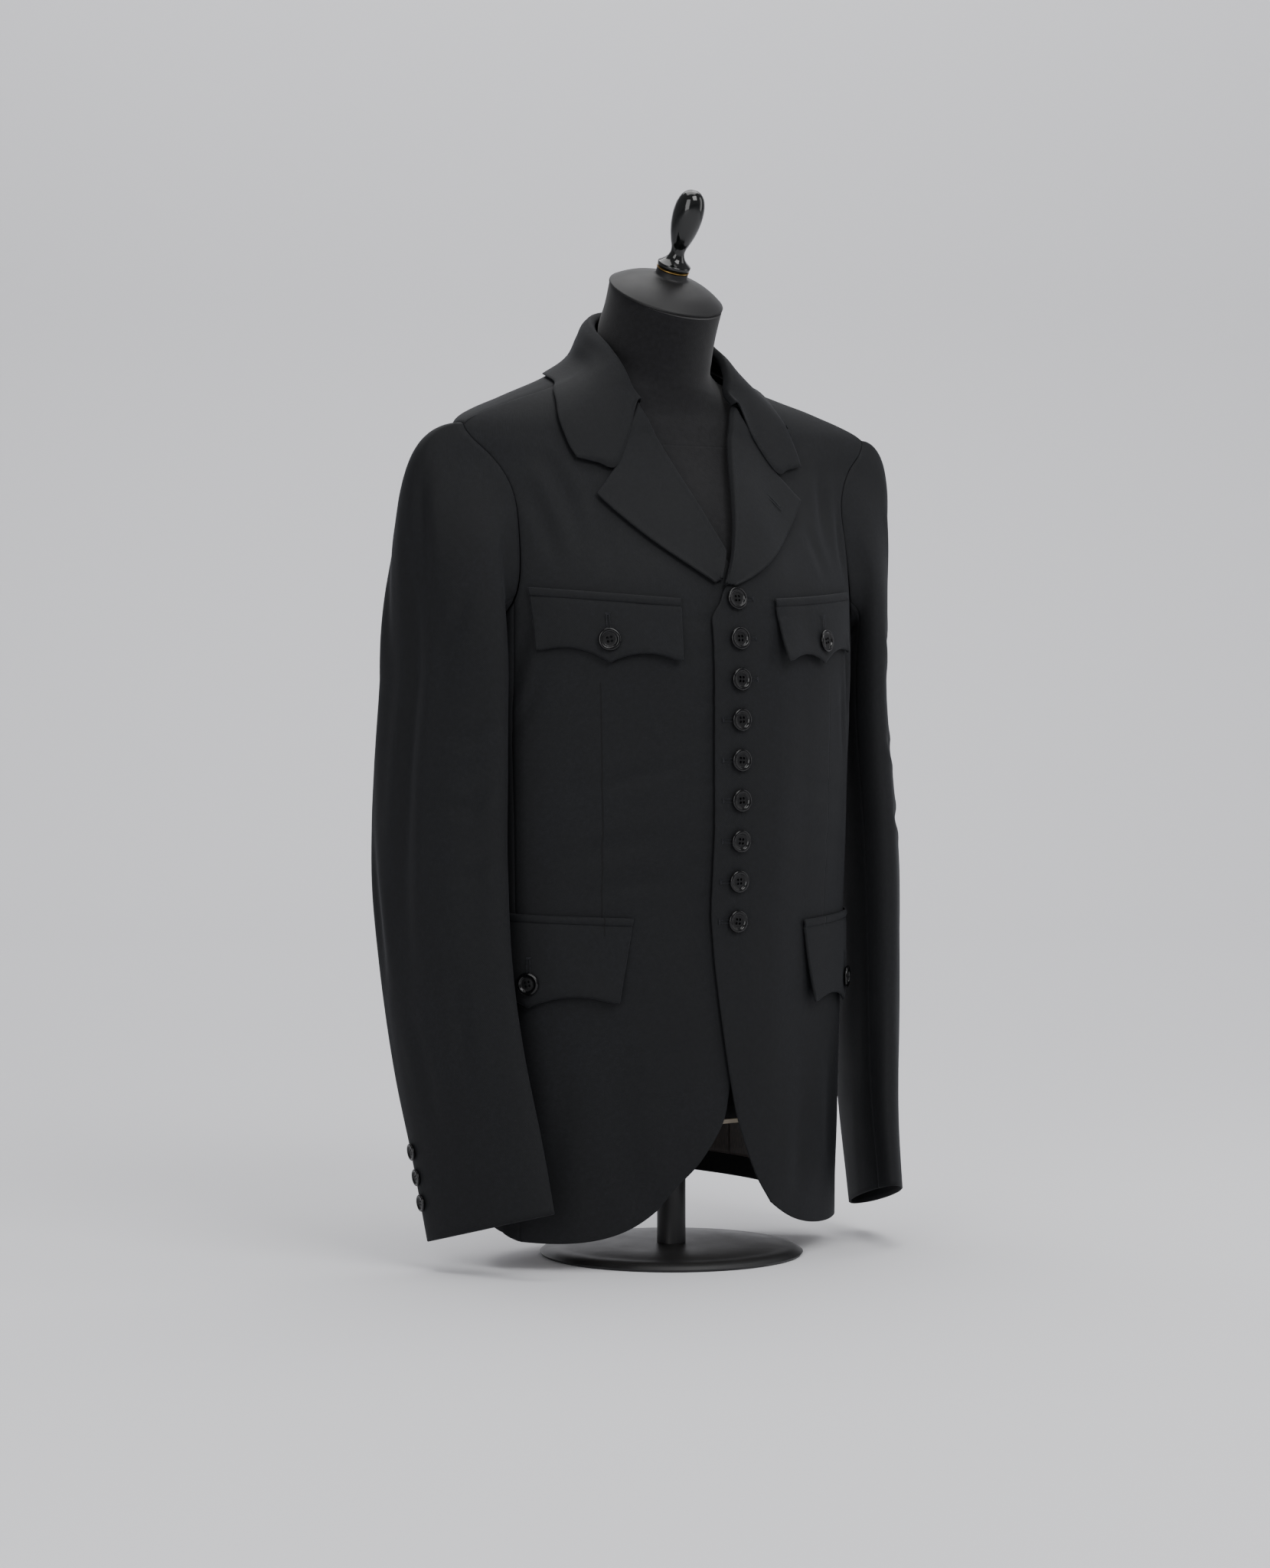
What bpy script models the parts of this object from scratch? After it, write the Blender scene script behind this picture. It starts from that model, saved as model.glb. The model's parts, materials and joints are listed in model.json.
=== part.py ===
"""A fitted black jacket with nine front buttons, buttoned up on a limbless dress form.

Metres, +Z up. The floor is z = 0 and the middle of the foot plate is the origin.
The wearer faces -Y, so the wearer's left is +X. Heights are measured from the floor.
An angle on the body is 0 at the centre front, 90 at the wearer's left side and 180 at
the centre back; the wearer's right side has negative angles.
"""
import math
from functools import partial

import bpy
import numpy as np
from mathutils import Vector

# Cloth
WALL = 0.0016
DOUBLE_WALL = 0.0024
SEAM_GAP = 0.0003
LAP = 0.028
LAP_LIFT = 0.0034
LAP_FADE_START = 0.034
LAP_FADE_END = 0.080

# Heights of the garment's landmarks
HEM_FRONT = 0.0225
HEM_SIDE = 0.042
HEM_BACK = 0.068
CUT_START = 0.300
BREAK = 0.572
NOTCH = 0.6835
ROLL_TOP = 0.7465
GORGE_TOP = 0.7444
SHOULDER_TIP = 0.7165
NECK_POINT = 0.7655

# Buttons
FRONT_BUTTONS = 9
TOP_BUTTON = 0.569
BUTTON_LINE = -0.0035
BUTTON_SPACING = 0.0342
BUTTON_RADIUS = 0.00975
CUFF_BUTTON_RADIUS = 0.0075
BUTTON_THICKNESS = 0.0032

# Dress form
FORM_BOTTOM = 0.124
NECK_LEAN = math.radians(27.0)
CAP_RADIUS = 0.0512
CAP_HEIGHT = 0.0235
RING_THICKNESS = 0.0012
FINIAL_HEIGHT = 0.0715
POLE_RADIUS = 0.0125
PLATE_RADIUS = 0.115
PLATE_HEIGHT = 0.009

# Cross-sections of the jacket's outside from hem to neck. A power near 1 is a pointed
# curve, 2 an ellipse, and more is squarer. The tilt is the rise of the ring to the back.
BODY_COLUMNS = (
    "height", "centre_y", "half_width", "front", "back", "front_power", "back_power", "tilt")
BODY_ROWS = (
    (0.020, 0.002, 0.1730, 0.0940, 0.112, 1.60, 2.30, 0.00),
    (0.117, 0.002, 0.1735, 0.0955, 0.112, 1.60, 2.30, 0.00),
    (0.220, 0.001, 0.1770, 0.0985, 0.108, 1.60, 2.30, 0.00),
    (0.310, 0.000, 0.1795, 0.1000, 0.103, 1.60, 2.25, 0.00),
    (0.390, 0.000, 0.1815, 0.1050, 0.101, 1.62, 2.20, 0.00),
    (0.470, 0.000, 0.1840, 0.1050, 0.108, 1.62, 2.30, 0.00),
    (0.545, 0.000, 0.1865, 0.1015, 0.117, 1.60, 2.40, 0.00),
    (0.585, 0.000, 0.1890, 0.0940, 0.120, 1.55, 2.50, 0.02),
    (0.625, 0.000, 0.1930, 0.0770, 0.122, 1.42, 2.50, 0.05),
    (0.665, 0.000, 0.1990, 0.0560, 0.118, 1.30, 2.40, 0.08),
    (0.690, 0.001, 0.2070, 0.0430, 0.109, 1.25, 2.30, 0.12),
    (0.705, 0.002, 0.2125, 0.0360, 0.099, 1.25, 2.15, 0.16),
    (0.7175, 0.004, 0.2080, 0.0330, 0.090, 1.28, 2.00, 0.20),
    (0.735, 0.008, 0.1640, 0.0330, 0.076, 1.34, 1.95, 0.28),
    (0.750, 0.014, 0.1170, 0.0370, 0.069, 1.45, 1.95, 0.35),
    (0.762, 0.021, 0.0810, 0.0450, 0.065, 1.70, 2.00, 0.40),
    (0.770, 0.026, 0.0660, 0.0510, 0.062, 1.90, 2.00, 0.42),
)
FRONT_ROUNDING = 0.14
UNDER_FOLD = 0.0035

# Ease between the cloth's inside and the form, by height
EASE_COLUMNS = ("height", "ease")
EASE_ROWS = (
    (0.100, 0.0150),
    (0.200, 0.0130),
    (0.300, 0.0095),
    (0.400, 0.0080),
    (0.500, 0.0070),
    (0.580, 0.0035),
    (0.650, 0.0034),
    (0.690, 0.0034),
    (0.712, 0.0016),
    (0.735, 0.0034),
    (0.800, 0.0038),
)

# The neck of the form, above the shoulders
NECK_COLUMNS = ("height", "centre_y", "radius")
NECK_ROWS = (
    (0.7800, 0.0280, 0.0500),
    (0.7950, 0.0255, 0.0497),
    (0.8140, 0.0175, 0.0485),
    (0.8345, 0.0090, 0.0487),
)

# Front edges below the last button: distance of each past the centre line. The wearer's
# right front swings further open than the left one.
CUTAWAY_COLUMNS = ("height", "left_from_centre", "right_from_centre")
CUTAWAY_ROWS = (
    (0.052, 0.0400, 0.0700),
    (0.069, 0.0278, 0.0555),
    (0.088, 0.0177, 0.0352),
    (0.103, 0.0115, 0.0235),
    (0.121, 0.0045, 0.0120),
    (0.160, -0.0057, 0.0034),
    (0.200, -0.0140, -0.0090),
    (0.250, -0.0225, -0.0215),
    (0.300, -0.0280, -0.0280),
)

# The line on which a lapel turns back; it curves outwards just above the break
ROLL_COLUMNS = ("height", "x")
ROLL_ROWS = (
    (0.572, -0.0200),
    (0.580, -0.0145),
    (0.592, -0.0080),
    (0.606, -0.0008),
    (0.625, 0.0068),
    (0.669, 0.0212),
    (0.750, 0.0472),
)

# The armhole, round the body: closed curve from the shoulder tip, first down the front
ARMHOLE_COLUMNS = ("angle", "height")
ARMHOLE_ROWS = (
    (90.0, SHOULDER_TIP),
    (73.0, 0.6980),
    (65.0, 0.6670),
    (65.0, 0.6200),
    (70.0, 0.5700),
    (84.0, 0.5450),
    (100.0, 0.5470),
    (114.0, 0.5720),
    (122.0, 0.6150),
    (121.0, 0.6620),
    (110.0, 0.7000),
)
FRONT_SEAM_ANGLE = 75.0
BACK_SEAM_ANGLE = 114.0

# Sleeve sections: centre, half thickness, half width, turn of the front towards the
# body in degrees, and how far the front of the ring rises, per metre
SLEEVE_COLUMNS = ("height", "centre_x", "centre_y", "half_thick", "half_wide", "turn", "front_rise")
SLEEVE_ROWS = (
    (0.500, 0.2122, 0.0310, 0.0280, 0.0735, 14.0, 0.00),
    (0.420, 0.2150, 0.0330, 0.0295, 0.0755, 15.0, 0.00),
    (0.340, 0.2165, 0.0320, 0.0300, 0.0755, 16.0, 0.02),
    (0.260, 0.2150, 0.0245, 0.0280, 0.0725, 17.0, 0.06),
    (0.180, 0.2095, 0.0130, 0.0252, 0.0700, 19.0, 0.12),
    (0.110, 0.2020, -0.0020, 0.0220, 0.0670, 21.0, 0.19),
    (0.038, 0.1970, -0.0190, 0.0200, 0.0650, 22.0, 0.258),
)
UNDER_FLATNESS = 0.70
SLEEVE_FRONT_SEAM = -42.0
SLEEVE_BACK_SEAM = 190.0

# Long soft folds: where they lie round the sleeve, how deep, how wide and how high
SLEEVE_FOLDS_COLUMNS = ("around", "depth", "spread", "middle", "reach")
SLEEVE_FOLDS = (
    (118.0, 0.0042, 16.0, 0.46, 0.20),
    (78.0, 0.0026, 14.0, 0.60, 0.09),
    (150.0, 0.0024, 14.0, 0.30, 0.16),
    (40.0, 0.0022, 16.0, 0.36, 0.14),
)


def clear_scene():
    for thing in list(bpy.data.objects):
        bpy.data.objects.remove(thing, do_unlink=True)


def finish(name, hex_colour, roughness, metallic=0.0):
    """A plain Principled material with an sRGB colour."""
    made = bpy.data.materials.new(name)
    made.use_nodes = True
    shader = made.node_tree.nodes["Principled BSDF"]
    channels = [int(hex_colour[at:at + 2], 16) / 255 for at in (1, 3, 5)]
    linear = [((c + 0.055) / 1.055) ** 2.4 if c > 0.04045 else c / 12.92 for c in channels]
    shader.inputs["Base Color"].default_value = (*linear, 1.0)
    shader.inputs["Roughness"].default_value = roughness
    shader.inputs["Metallic"].default_value = metallic
    return made


def smooth_columns(rows, at):
    """Every column of a table at one value of its first column, as a smooth curve."""
    table = np.array(rows, float)
    keys = table[:, 0]
    at = min(max(at, keys[0]), keys[-1])
    after = min(max(int(np.searchsorted(keys, at)), 1), len(keys) - 1)
    before = after - 1
    steps = np.diff(keys)
    slopes = np.diff(table[:, 1:], axis=0) / steps[:, None]
    inner = (slopes[:-1] * steps[1:, None] + slopes[1:] * steps[:-1, None])
    inner /= (steps[1:] + steps[:-1])[:, None]
    turning = slopes[:-1] * slopes[1:] <= 0
    inner[turning] = 0
    tangents = np.vstack([slopes[:1], inner, slopes[-1:]])
    width = steps[before]
    t = (at - keys[before]) / width
    return (
        (2 * t**3 - 3 * t**2 + 1) * table[before, 1:]
        + (t**3 - 2 * t**2 + t) * width * tangents[before]
        + (3 * t**2 - 2 * t**3) * table[after, 1:]
        + (t**3 - t**2) * width * tangents[after])


def closed_curve(rows, at):
    """A point on a smooth closed curve through the rows; at runs from 0 to 1."""
    table = np.array(rows, float)
    count = len(table)
    place = (at % 1.0) * count
    first = int(place) % count
    t = place - int(place)
    a, b, c, d = (table[(first + k) % count] for k in (-1, 0, 1, 2))
    return 0.5 * (2 * b + (c - a) * t + (2 * a - 5 * b + 4 * c - d) * t**2
                  + (3 * b - a - 3 * c + d) * t**3)


def soft_step(low, high, value):
    t = min(max((value - low) / (high - low), 0.0), 1.0)
    return t * t * (3 - 2 * t)


def body_point(angle, height):
    """A point on the jacket's outside."""
    angle = (angle + 180.0) % 360.0 - 180.0
    centre_y, half_width, front, back, front_power, back_power, tilt = smooth_columns(
        BODY_ROWS, height)
    turn = math.radians(abs(angle))
    across = math.sin(turn)
    along = abs(math.cos(turn))
    if turn <= math.pi / 2:
        reach = across ** (2 / front_power)
        span = math.sqrt(1 + FRONT_ROUNDING**2) - FRONT_ROUNDING
        reach = math.sqrt((reach * span + FRONT_ROUNDING) ** 2 - FRONT_ROUNDING**2)
        y = -front * along ** (2 / front_power)
    else:
        reach = across ** (2 / back_power)
        y = back * along ** (2 / back_power)
    x = math.copysign(half_width * reach, angle)
    return np.array([x, centre_y + y, height + tilt * y])


def body_normal(angle, height):
    turn = 1.0
    rise = 0.002
    around = body_point(angle + turn, height) - body_point(angle - turn, height)
    up = body_point(angle, height + rise) - body_point(angle, height - rise)
    normal = np.cross(around, up)
    return normal / np.linalg.norm(normal)


def cloth_point(angle, height, out=0.0):
    """A point of the jacket's outside, moved out along the surface's normal."""
    return body_point(angle, height) + out * body_normal(angle, height)


def angle_at(distance_x, height):
    """The angle of the front point that lies this far to the side of the centre line."""
    low, high = 0.0, 90.0
    for _ in range(30):
        middle = (low + high) / 2
        if body_point(middle, height)[0] < abs(distance_x):
            low = middle
        else:
            high = middle
    return math.copysign(low, distance_x)


def angle_along(distance, height):
    """The angle reached by walking this far round the body from the centre front."""
    step = 1.5
    angle = 0.0
    before = body_point(0.0, height)
    left = abs(distance)
    while angle < 175:
        after = body_point(angle + step, height)
        length = float(np.linalg.norm(after - before))
        if length >= left:
            break
        left -= length
        angle += step
        before = after
    return math.copysign(angle + step * left / length, distance)


def lap_lift(x):
    """How far the wearer's left front stands out, to lie over the right front."""
    return LAP_LIFT * (1 - soft_step(LAP_FADE_START, LAP_FADE_END, x))


def make_object(name, points, faces, material):
    mesh = bpy.data.meshes.new(name)
    mesh.from_pydata([tuple(map(float, p)) for p in points], [], faces)
    corners = np.array(points, float)
    volume = 0.0
    for face in faces:
        for k in range(1, len(face) - 1):
            a, b, c = corners[face[0]], corners[face[k]], corners[face[k + 1]]
            volume += float(np.dot(a, np.cross(b, c)))
    if volume < 0:
        mesh.flip_normals()
    mesh.shade_smooth()
    mesh.set_sharp_from_angle(angle=math.radians(40))
    mesh.materials.append(material)
    made = bpy.data.objects.new(name, mesh)
    JACKET.objects.link(made)
    return made


def wall_faces(rows, columns):
    """Faces of a closed wall whose points are an outer grid and then an inner one."""
    inner = rows * columns
    faces = []
    for i in range(rows - 1):
        for j in range(columns - 1):
            a = i * columns + j
            b = a + 1
            c = a + columns + 1
            d = a + columns
            faces += [(a, b, c), (a, c, d)]
            faces += [(inner + c, inner + b, inner + a), (inner + d, inner + c, inner + a)]
    for i in range(rows - 1):
        for j, flip in ((0, False), (columns - 1, True)):
            a = i * columns + j
            b = a + columns
            face = (a, b, inner + b, inner + a)
            faces.append(face[::-1] if flip else face)
    for j in range(columns - 1):
        for i, flip in ((0, True), (rows - 1, False)):
            a = i * columns + j
            b = a + 1
            face = (a, b, inner + b, inner + a)
            faces.append(face[::-1] if flip else face)
    return faces


def wall(name, outer, inner, material):
    """One closed piece of cloth between two grids of points."""
    outer = np.array(outer)
    inner = np.array(inner)
    rows, columns, _ = outer.shape
    points = np.vstack([outer.reshape(-1, 3), inner.reshape(-1, 3)])
    return make_object(name, points, wall_faces(rows, columns), material)


def sheet_normals(sheet):
    down = np.gradient(sheet, axis=0)
    across = np.gradient(sheet, axis=1)
    normals = np.cross(down, across)
    return normals / np.linalg.norm(normals, axis=2)[:, :, None]


def thick_sheet(name, sheet, thickness, material):
    """Cloth of one thickness, half of it on each side of a sheet of points."""
    sheet = np.array(sheet)
    away = sheet_normals(sheet) * (thickness / 2)
    return wall(name, sheet + away, sheet - away, material)


def closed_loft(name, rings, material):
    """A solid through closed rings of points, with a flat face at each end."""
    count = len(rings[0])
    points = [p for ring in rings for p in ring]
    faces = [tuple(range(count))[::-1]]
    for r in range(len(rings) - 1):
        for k in range(count):
            a = r * count + k
            b = r * count + (k + 1) % count
            faces.append((a, b, b + count, a + count))
    last = (len(rings) - 1) * count
    faces.append(tuple(range(last, last + count)))
    return make_object(name, points, faces, material)


def turned(name, profile, material, place, axis, sides=24):
    """A turned piece: a profile of radius and height, spun by a Screw modifier."""
    mesh = bpy.data.meshes.new(name)
    points = [(radius, 0.0, height) for radius, height in profile]
    mesh.from_pydata(points, [(k, k + 1) for k in range(len(points) - 1)], [])
    mesh.materials.append(material)
    made = bpy.data.objects.new(name, mesh)
    JACKET.objects.link(made)
    made.location = place
    made.rotation_mode = "QUATERNION"
    made.rotation_quaternion = Vector(axis).to_track_quat("Z", "Y")
    spin = made.modifiers.new("spin", "SCREW")
    spin.steps = sides
    spin.render_steps = sides
    spin.use_merge_vertices = True
    spin.merge_threshold = 0.00001
    spin.use_smooth_shade = True
    return made


# Fronts, sides and backs

def coons(bottom, top, left, right, across, up):
    """Fills a region of the body's surface from its four edges."""
    u, v = across, up
    corners = ((1 - u) * (1 - v) * left(0.0) + u * (1 - v) * right(0.0)
               + (1 - u) * v * left(1.0) + u * v * right(1.0))
    return (1 - v) * bottom(u) + v * top(u) + (1 - u) * left(v) + u * right(v) - corners


def hem_height(angle):
    """The hem rises from the fronts to the centre back."""
    return float(np.interp(abs(angle), (0, 60, 115, 180), (HEM_FRONT, HEM_FRONT, HEM_SIDE, HEM_BACK)))


def armhole(at):
    return closed_curve(ARMHOLE_ROWS, at)


def roll_x(height):
    """How far from the centre line the lapel folds at a height."""
    return float(smooth_columns(ROLL_ROWS, height)[0])


def front_edge(up, side):
    """The front's inner edge: cutaway, straight edge, break, lapel fold and neckline."""
    stations = FRONT_EDGE_STATIONS
    keys = [row[0] for row in stations]
    height = float(np.interp(up, keys, [row[1] for row in stations]))
    if height < CUT_START:
        across = float(smooth_columns(CUTAWAY_ROWS, height)[0 if side > 0 else 1])
    elif height < BREAK:
        reach = LAP + roll_x(BREAK) + UNDER_FOLD
        across = -LAP + reach * soft_step(BREAK - 0.022, BREAK, height)
    elif height < ROLL_TOP:
        across = roll_x(height) + UNDER_FOLD
    else:
        over = (height - ROLL_TOP) / (NECK_POINT - ROLL_TOP)
        start = angle_at(roll_x(ROLL_TOP) + UNDER_FOLD, ROLL_TOP)
        return np.array([start + (90.0 - start) * over ** 0.8, height])
    return np.array([angle_at(across, height), height])


FRONT_EDGE_STATIONS = (
    (0.000, 0.052),
    (0.046, 0.080),
    (0.115, 0.127),
    (0.322, 0.300),
    (0.690, 0.572),
    (0.92, ROLL_TOP),
    (1.00, NECK_POINT),
)


def front_point(across, up, side):
    """The angle and height of a point of a front panel."""
    def inner_edge(v):
        return front_edge(v, side)

    def outer_edge(v):
        if v < 0.66:
            height = float(np.interp(v, (0.0, 0.05, 0.35, 0.66), (HEM_FRONT + 0.003, 0.060, 0.290, 0.562)))
            start = FRONT_SEAM_ANGLE
            angle = float(np.interp(height, (HEM_FRONT, 0.45, 0.562), (start, start, 71.4)))
            return np.array([angle, height])
        return armhole(np.interp(v, (0.66, 1.0), (4.15, 0.0)) / len(ARMHOLE_ROWS))

    def hem(u):
        start = inner_edge(0.0)
        angle = start[0] + (FRONT_SEAM_ANGLE - start[0]) * u
        drop = (start[1] - HEM_FRONT) * (1 - u) ** 4
        return np.array([angle, HEM_FRONT + drop + 0.003 * u])

    def shoulder(u):
        return np.array([90.0, NECK_POINT + (SHOULDER_TIP - NECK_POINT) * u])

    return coons(hem, shoulder, inner_edge, outer_edge, across, up)


NECK_SEGMENTS = 4
SEAM_STATIONS = (0.0, 0.07, 0.16, 0.27, 0.40, 0.55, 0.70, 0.85, 1.0)
NECK_SHARE = 0.32


def back_angle(x, height):
    """The angle of the back point that lies this far to the side of the centre line."""
    low, high = 90.0, 180.0
    for _ in range(30):
        middle = (low + high) / 2
        if body_point(middle, height)[0] > x:
            low = middle
        else:
            high = middle
    return low


def back_point(across, up):
    """The angle and height of a point of a back panel; across runs from the centre."""
    def flat(angle, height):
        return np.array([body_point(angle, height)[0], height])

    def centre(v):
        return np.array([0.0, HEM_BACK + (NECK_POINT - HEM_BACK) * v])

    def outer_edge(v):
        if v < 0.66:
            height = HEM_SIDE + (0.572 - HEM_SIDE) * v / 0.66
            return flat(BACK_SEAM_ANGLE, height)
        return flat(*armhole(np.interp(v, (0.66, 1.0), (7.0, 11.0)) / len(ARMHOLE_ROWS)))

    def hem(u):
        angle = 179.99 + (BACK_SEAM_ANGLE - 179.99) * u
        return flat(angle, hem_height(angle))

    def top(u):
        if u < NECK_SHARE:
            return flat(90.0, NECK_POINT) * np.array([u / NECK_SHARE, 1.0])
        run = (u - NECK_SHARE) / (1 - NECK_SHARE)
        return flat(90.0, NECK_POINT + (SHOULDER_TIP - NECK_POINT) * run)

    x, height = coons(hem, top, centre, outer_edge, across, up)
    if up == 1.0 and across >= NECK_SHARE:
        return np.array([90.35, height])
    return np.array([back_angle(x, height), height])


def side_point(across, up):
    """The angle and height of a point of the panel under the arm."""
    def front_side(v):
        height = HEM_FRONT + 0.003 + (0.562 - HEM_FRONT - 0.003) * v
        start = FRONT_SEAM_ANGLE
        return np.array([float(np.interp(height, (HEM_FRONT, 0.45, 0.562), (start, start, 71.4))), height])

    def back_side(v):
        return np.array([BACK_SEAM_ANGLE, HEM_SIDE + (0.572 - HEM_SIDE) * v])

    def hem(u):
        low = front_side(0.0)
        high = back_side(0.0)
        return low + (high - low) * u

    def top(u):
        return armhole(np.interp(u, (0.0, 1.0), (4.15, 7.0)) / len(ARMHOLE_ROWS))

    return coons(hem, top, front_side, back_side, across, up)


def panel(name, place, side, ups, stations, lift, material):
    """A body panel: its outside follows the body, its inside is one wall further in."""
    outer = []
    inner = []
    for up in ups:
        outer_row = []
        inner_row = []
        for across in stations:
            angle, height = pull_in(place, across, up)
            on = body_point(side * angle, height)
            normal = body_normal(side * angle, height)
            out = lift(side, on[0])
            outer_row.append(on + normal * out)
            inner_row.append(on + normal * (out - WALL))
        outer.append(outer_row)
        inner.append(inner_row)
    return wall(name, outer, inner, material)


def pull_in(place, across, up):
    """Moves a panel's edge in by half the gap that a seam leaves."""
    angle, height = place(across, up)
    if 0 < across < 1 and 0 < up < 1:
        return angle, height
    inside = place(min(max(across, 0.02), 0.98), min(max(up, 0.02), 0.98))
    here = body_point(angle, height)
    toward = body_point(*inside) - here
    distance = float(np.linalg.norm(toward))
    share = min(SEAM_GAP * 1.1 / max(distance, 1e-6), 1.0)
    return angle + (inside[0] - angle) * share, height + (inside[1] - height) * share


def evenly(count):
    return [k / (count - 1) for k in range(count)]


def flat_lift(side, x):
    return 0.0


def front_lift(side, x):
    return lap_lift(x) if side > 0 else 0.0


def make_body(cloth):
    for side, word in ((1, "left"), (-1, "right")):
        place = partial(front_point, side=side)
        ups = [0.046 * k for k in range(21)] + [0.947, 0.973, 1.0]
        panel(f"front_{word}", place, side, ups, SEAM_STATIONS, front_lift, cloth)
        panel(f"side_{word}", side_point, side, evenly(14), evenly(5), flat_lift, cloth)
        turns = [math.pi / 2 * k / NECK_SEGMENTS for k in range(NECK_SEGMENTS)]
        stations = [NECK_SHARE * math.sin(turn) for turn in turns]
        stations += [NECK_SHARE + (1 - NECK_SHARE) * s for s in SEAM_STATIONS]
        ups = [0.9 * k / 15 for k in range(16)] + [0.930, 0.957, 0.981, 1.0]
        panel(f"back_{word}", back_point, side, ups, stations, flat_lift, cloth)


# Sleeves

def sleeve_ring(around, height):
    centre_x, centre_y, thick, wide, turn, rise = smooth_columns(SLEEVE_ROWS[::-1], height)
    a = math.radians(around)
    t = math.radians(turn)
    forward = np.array([-math.sin(t), -math.cos(t), 0.0])
    outward = np.array([math.cos(t), -math.sin(t), 0.0])
    point = np.array([centre_x, centre_y, height])
    across = thick * math.sin(a) * (UNDER_FLATNESS if math.sin(a) < 0 else 1.0)
    point = point + forward * wide * math.cos(a) + outward * across
    point[2] += rise * wide * math.cos(a)
    return point


def sleeve_start(around):
    """Where this line of the sleeve leaves the armhole."""
    at = (90.0 - around) / 360.0
    angle, height = armhole(at)
    centre = armhole_centre()
    away = np.array([angle, height]) - centre
    angle, height = centre + away * 0.975
    return cloth_point(angle, height, 0.0010)


def armhole_centre():
    return np.array([93.0, 0.6300])


HEAD_END = 0.500
ARM_SWING = 0.014
SWING_TOP = 0.500
SWING_FULL = 0.330


def sleeve_point(around, along):
    """A point of the left sleeve: along is 0 at the armhole, 1 at the end of the head."""
    if along >= 1.0:
        height = HEAD_END + (SLEEVE_ROWS[-1][0] - HEAD_END) * (along - 1.0)
        return sleeve_ring(around, height)
    start = sleeve_start(around)
    end = sleeve_ring(around, HEAD_END)
    a = math.radians(around)
    top = max(math.sin(a), 0.0)
    under = max(-math.sin(a), 0.0)
    start_pull = np.array([0.100 + 0.10 * top, 0.050 * top, -0.014 - 0.046 * under])
    start_pull *= 1.0 - 0.72 * under
    end_pull = np.array([0.0, 0.0, -0.06 - 0.22 * (1 - under)])
    t = along
    return ((2 * t**3 - 3 * t**2 + 1) * start + (t**3 - 2 * t**2 + t) * start_pull
            + (3 * t**2 - 2 * t**3) * end + (t**3 - t**2) * end_pull)


def sleeve_fold(around, height):
    """Depth of the long folds at a place on the sleeve."""
    depth = 0.0
    for middle, deep, spread, level, reach in SLEEVE_FOLDS:
        off = (around - middle) / spread
        rise = (height - level) / reach
        depth += deep * math.exp(-off * off) * math.exp(-rise * rise)
    return depth


def sleeve_surface(around, along):
    """The point and the outward direction of the left sleeve's cloth, folds and all."""
    turn = 2.0
    step = 0.02
    before = max(along - step, 0.0)
    around_it = sleeve_point(around + turn, along) - sleeve_point(around - turn, along)
    down_it = sleeve_point(around, along + step) - sleeve_point(around, before)
    outward = np.cross(down_it, around_it)
    outward /= np.linalg.norm(outward)
    point = sleeve_point(around, along)
    return point - outward * sleeve_fold(around % 360, point[2]), outward


def swung(point, side):
    """The wearer's left arm hangs further forward from below the armhole down."""
    if side < 0:
        return point * np.array([-1.0, 1.0, 1.0])
    share = min(max((SWING_TOP - point[2]) / (SWING_TOP - SWING_FULL), 0.0), 1.0)
    return point - np.array([0.0, ARM_SWING * share * share * (3.0 - 2.0 * share), 0.0])


def half_sleeve(name, side, first, last, columns, cloth):
    head_rows = 7
    tube_rows = 11
    alongs = [k / head_rows for k in range(head_rows)]
    alongs += [1.0 + k / tube_rows for k in range(tube_rows + 1)]
    outer, inner = [], []
    for along in alongs:
        outer_row, inner_row = [], []
        for j in range(columns):
            around = first + (last - first) * j / (columns - 1)
            point, outward = sleeve_surface(around, along)
            outer_row.append(swung(point, side))
            inner_row.append(swung(point - outward * WALL, side))
        outer.append(outer_row)
        inner.append(inner_row)
    return wall(name, outer, inner, cloth)


def make_sleeves(cloth):
    half_gap = 0.20
    for side, word in ((1, "left"), (-1, "right")):
        half_sleeve(f"sleeve_{word}_upper", side, SLEEVE_FRONT_SEAM + half_gap,
                    SLEEVE_BACK_SEAM - half_gap, 16, cloth)
        half_sleeve(f"sleeve_{word}_under", side, SLEEVE_BACK_SEAM + half_gap,
                    360 + SLEEVE_FRONT_SEAM - half_gap, 8, cloth)


# Collar and lapels

COLLAR_FOLD_COLUMNS = ("share", "x", "y", "z")
COLLAR_FOLD = (
    (0.00, 0.0000, 0.0812, 0.8220),
    (0.22, 0.0362, 0.0700, 0.8180),
    (0.42, 0.0548, 0.0425, 0.8040),
    (0.60, 0.0575, 0.0170, 0.7890),
    (0.80, 0.0545, -0.0045, 0.7675),
    (1.00, 0.0455, -0.0125, 0.7400),
)
# The outer edge on the wearer's left, then on the right, where it lies lower
COLLAR_EDGE_COLUMNS = ("share", "left_angle", "left_height", "right_angle", "right_height")
COLLAR_EDGE = (
    (0.00, 180.0, 0.7430, 180.0, 0.7430),
    (0.22, 146.0, 0.7450, 146.0, 0.7450),
    (0.42, 116.0, 0.7510, 116.0, 0.7510),
    (0.60, 86.0, 0.7535, 92.0, 0.7525),
    (0.68, 62.0, 0.7490, 75.0, 0.7483),
    (0.76, 48.5, 0.7402, 58.0, 0.7393),
    (0.84, 41.2, 0.7272, 46.5, 0.7250),
    (0.92, 38.9, 0.7090, 42.0, 0.7080),
    (1.00, 36.0, 0.6900, 38.0, 0.6900),
)
NECKLINE_SHARE = 0.60
COLLAR_REST = 0.0036
COLLAR_WALL = 0.0012
FOLD_RADIUS = 0.0040
FALL_CLEARANCE = 0.0068
NOTCH_X = 0.0830
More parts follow.
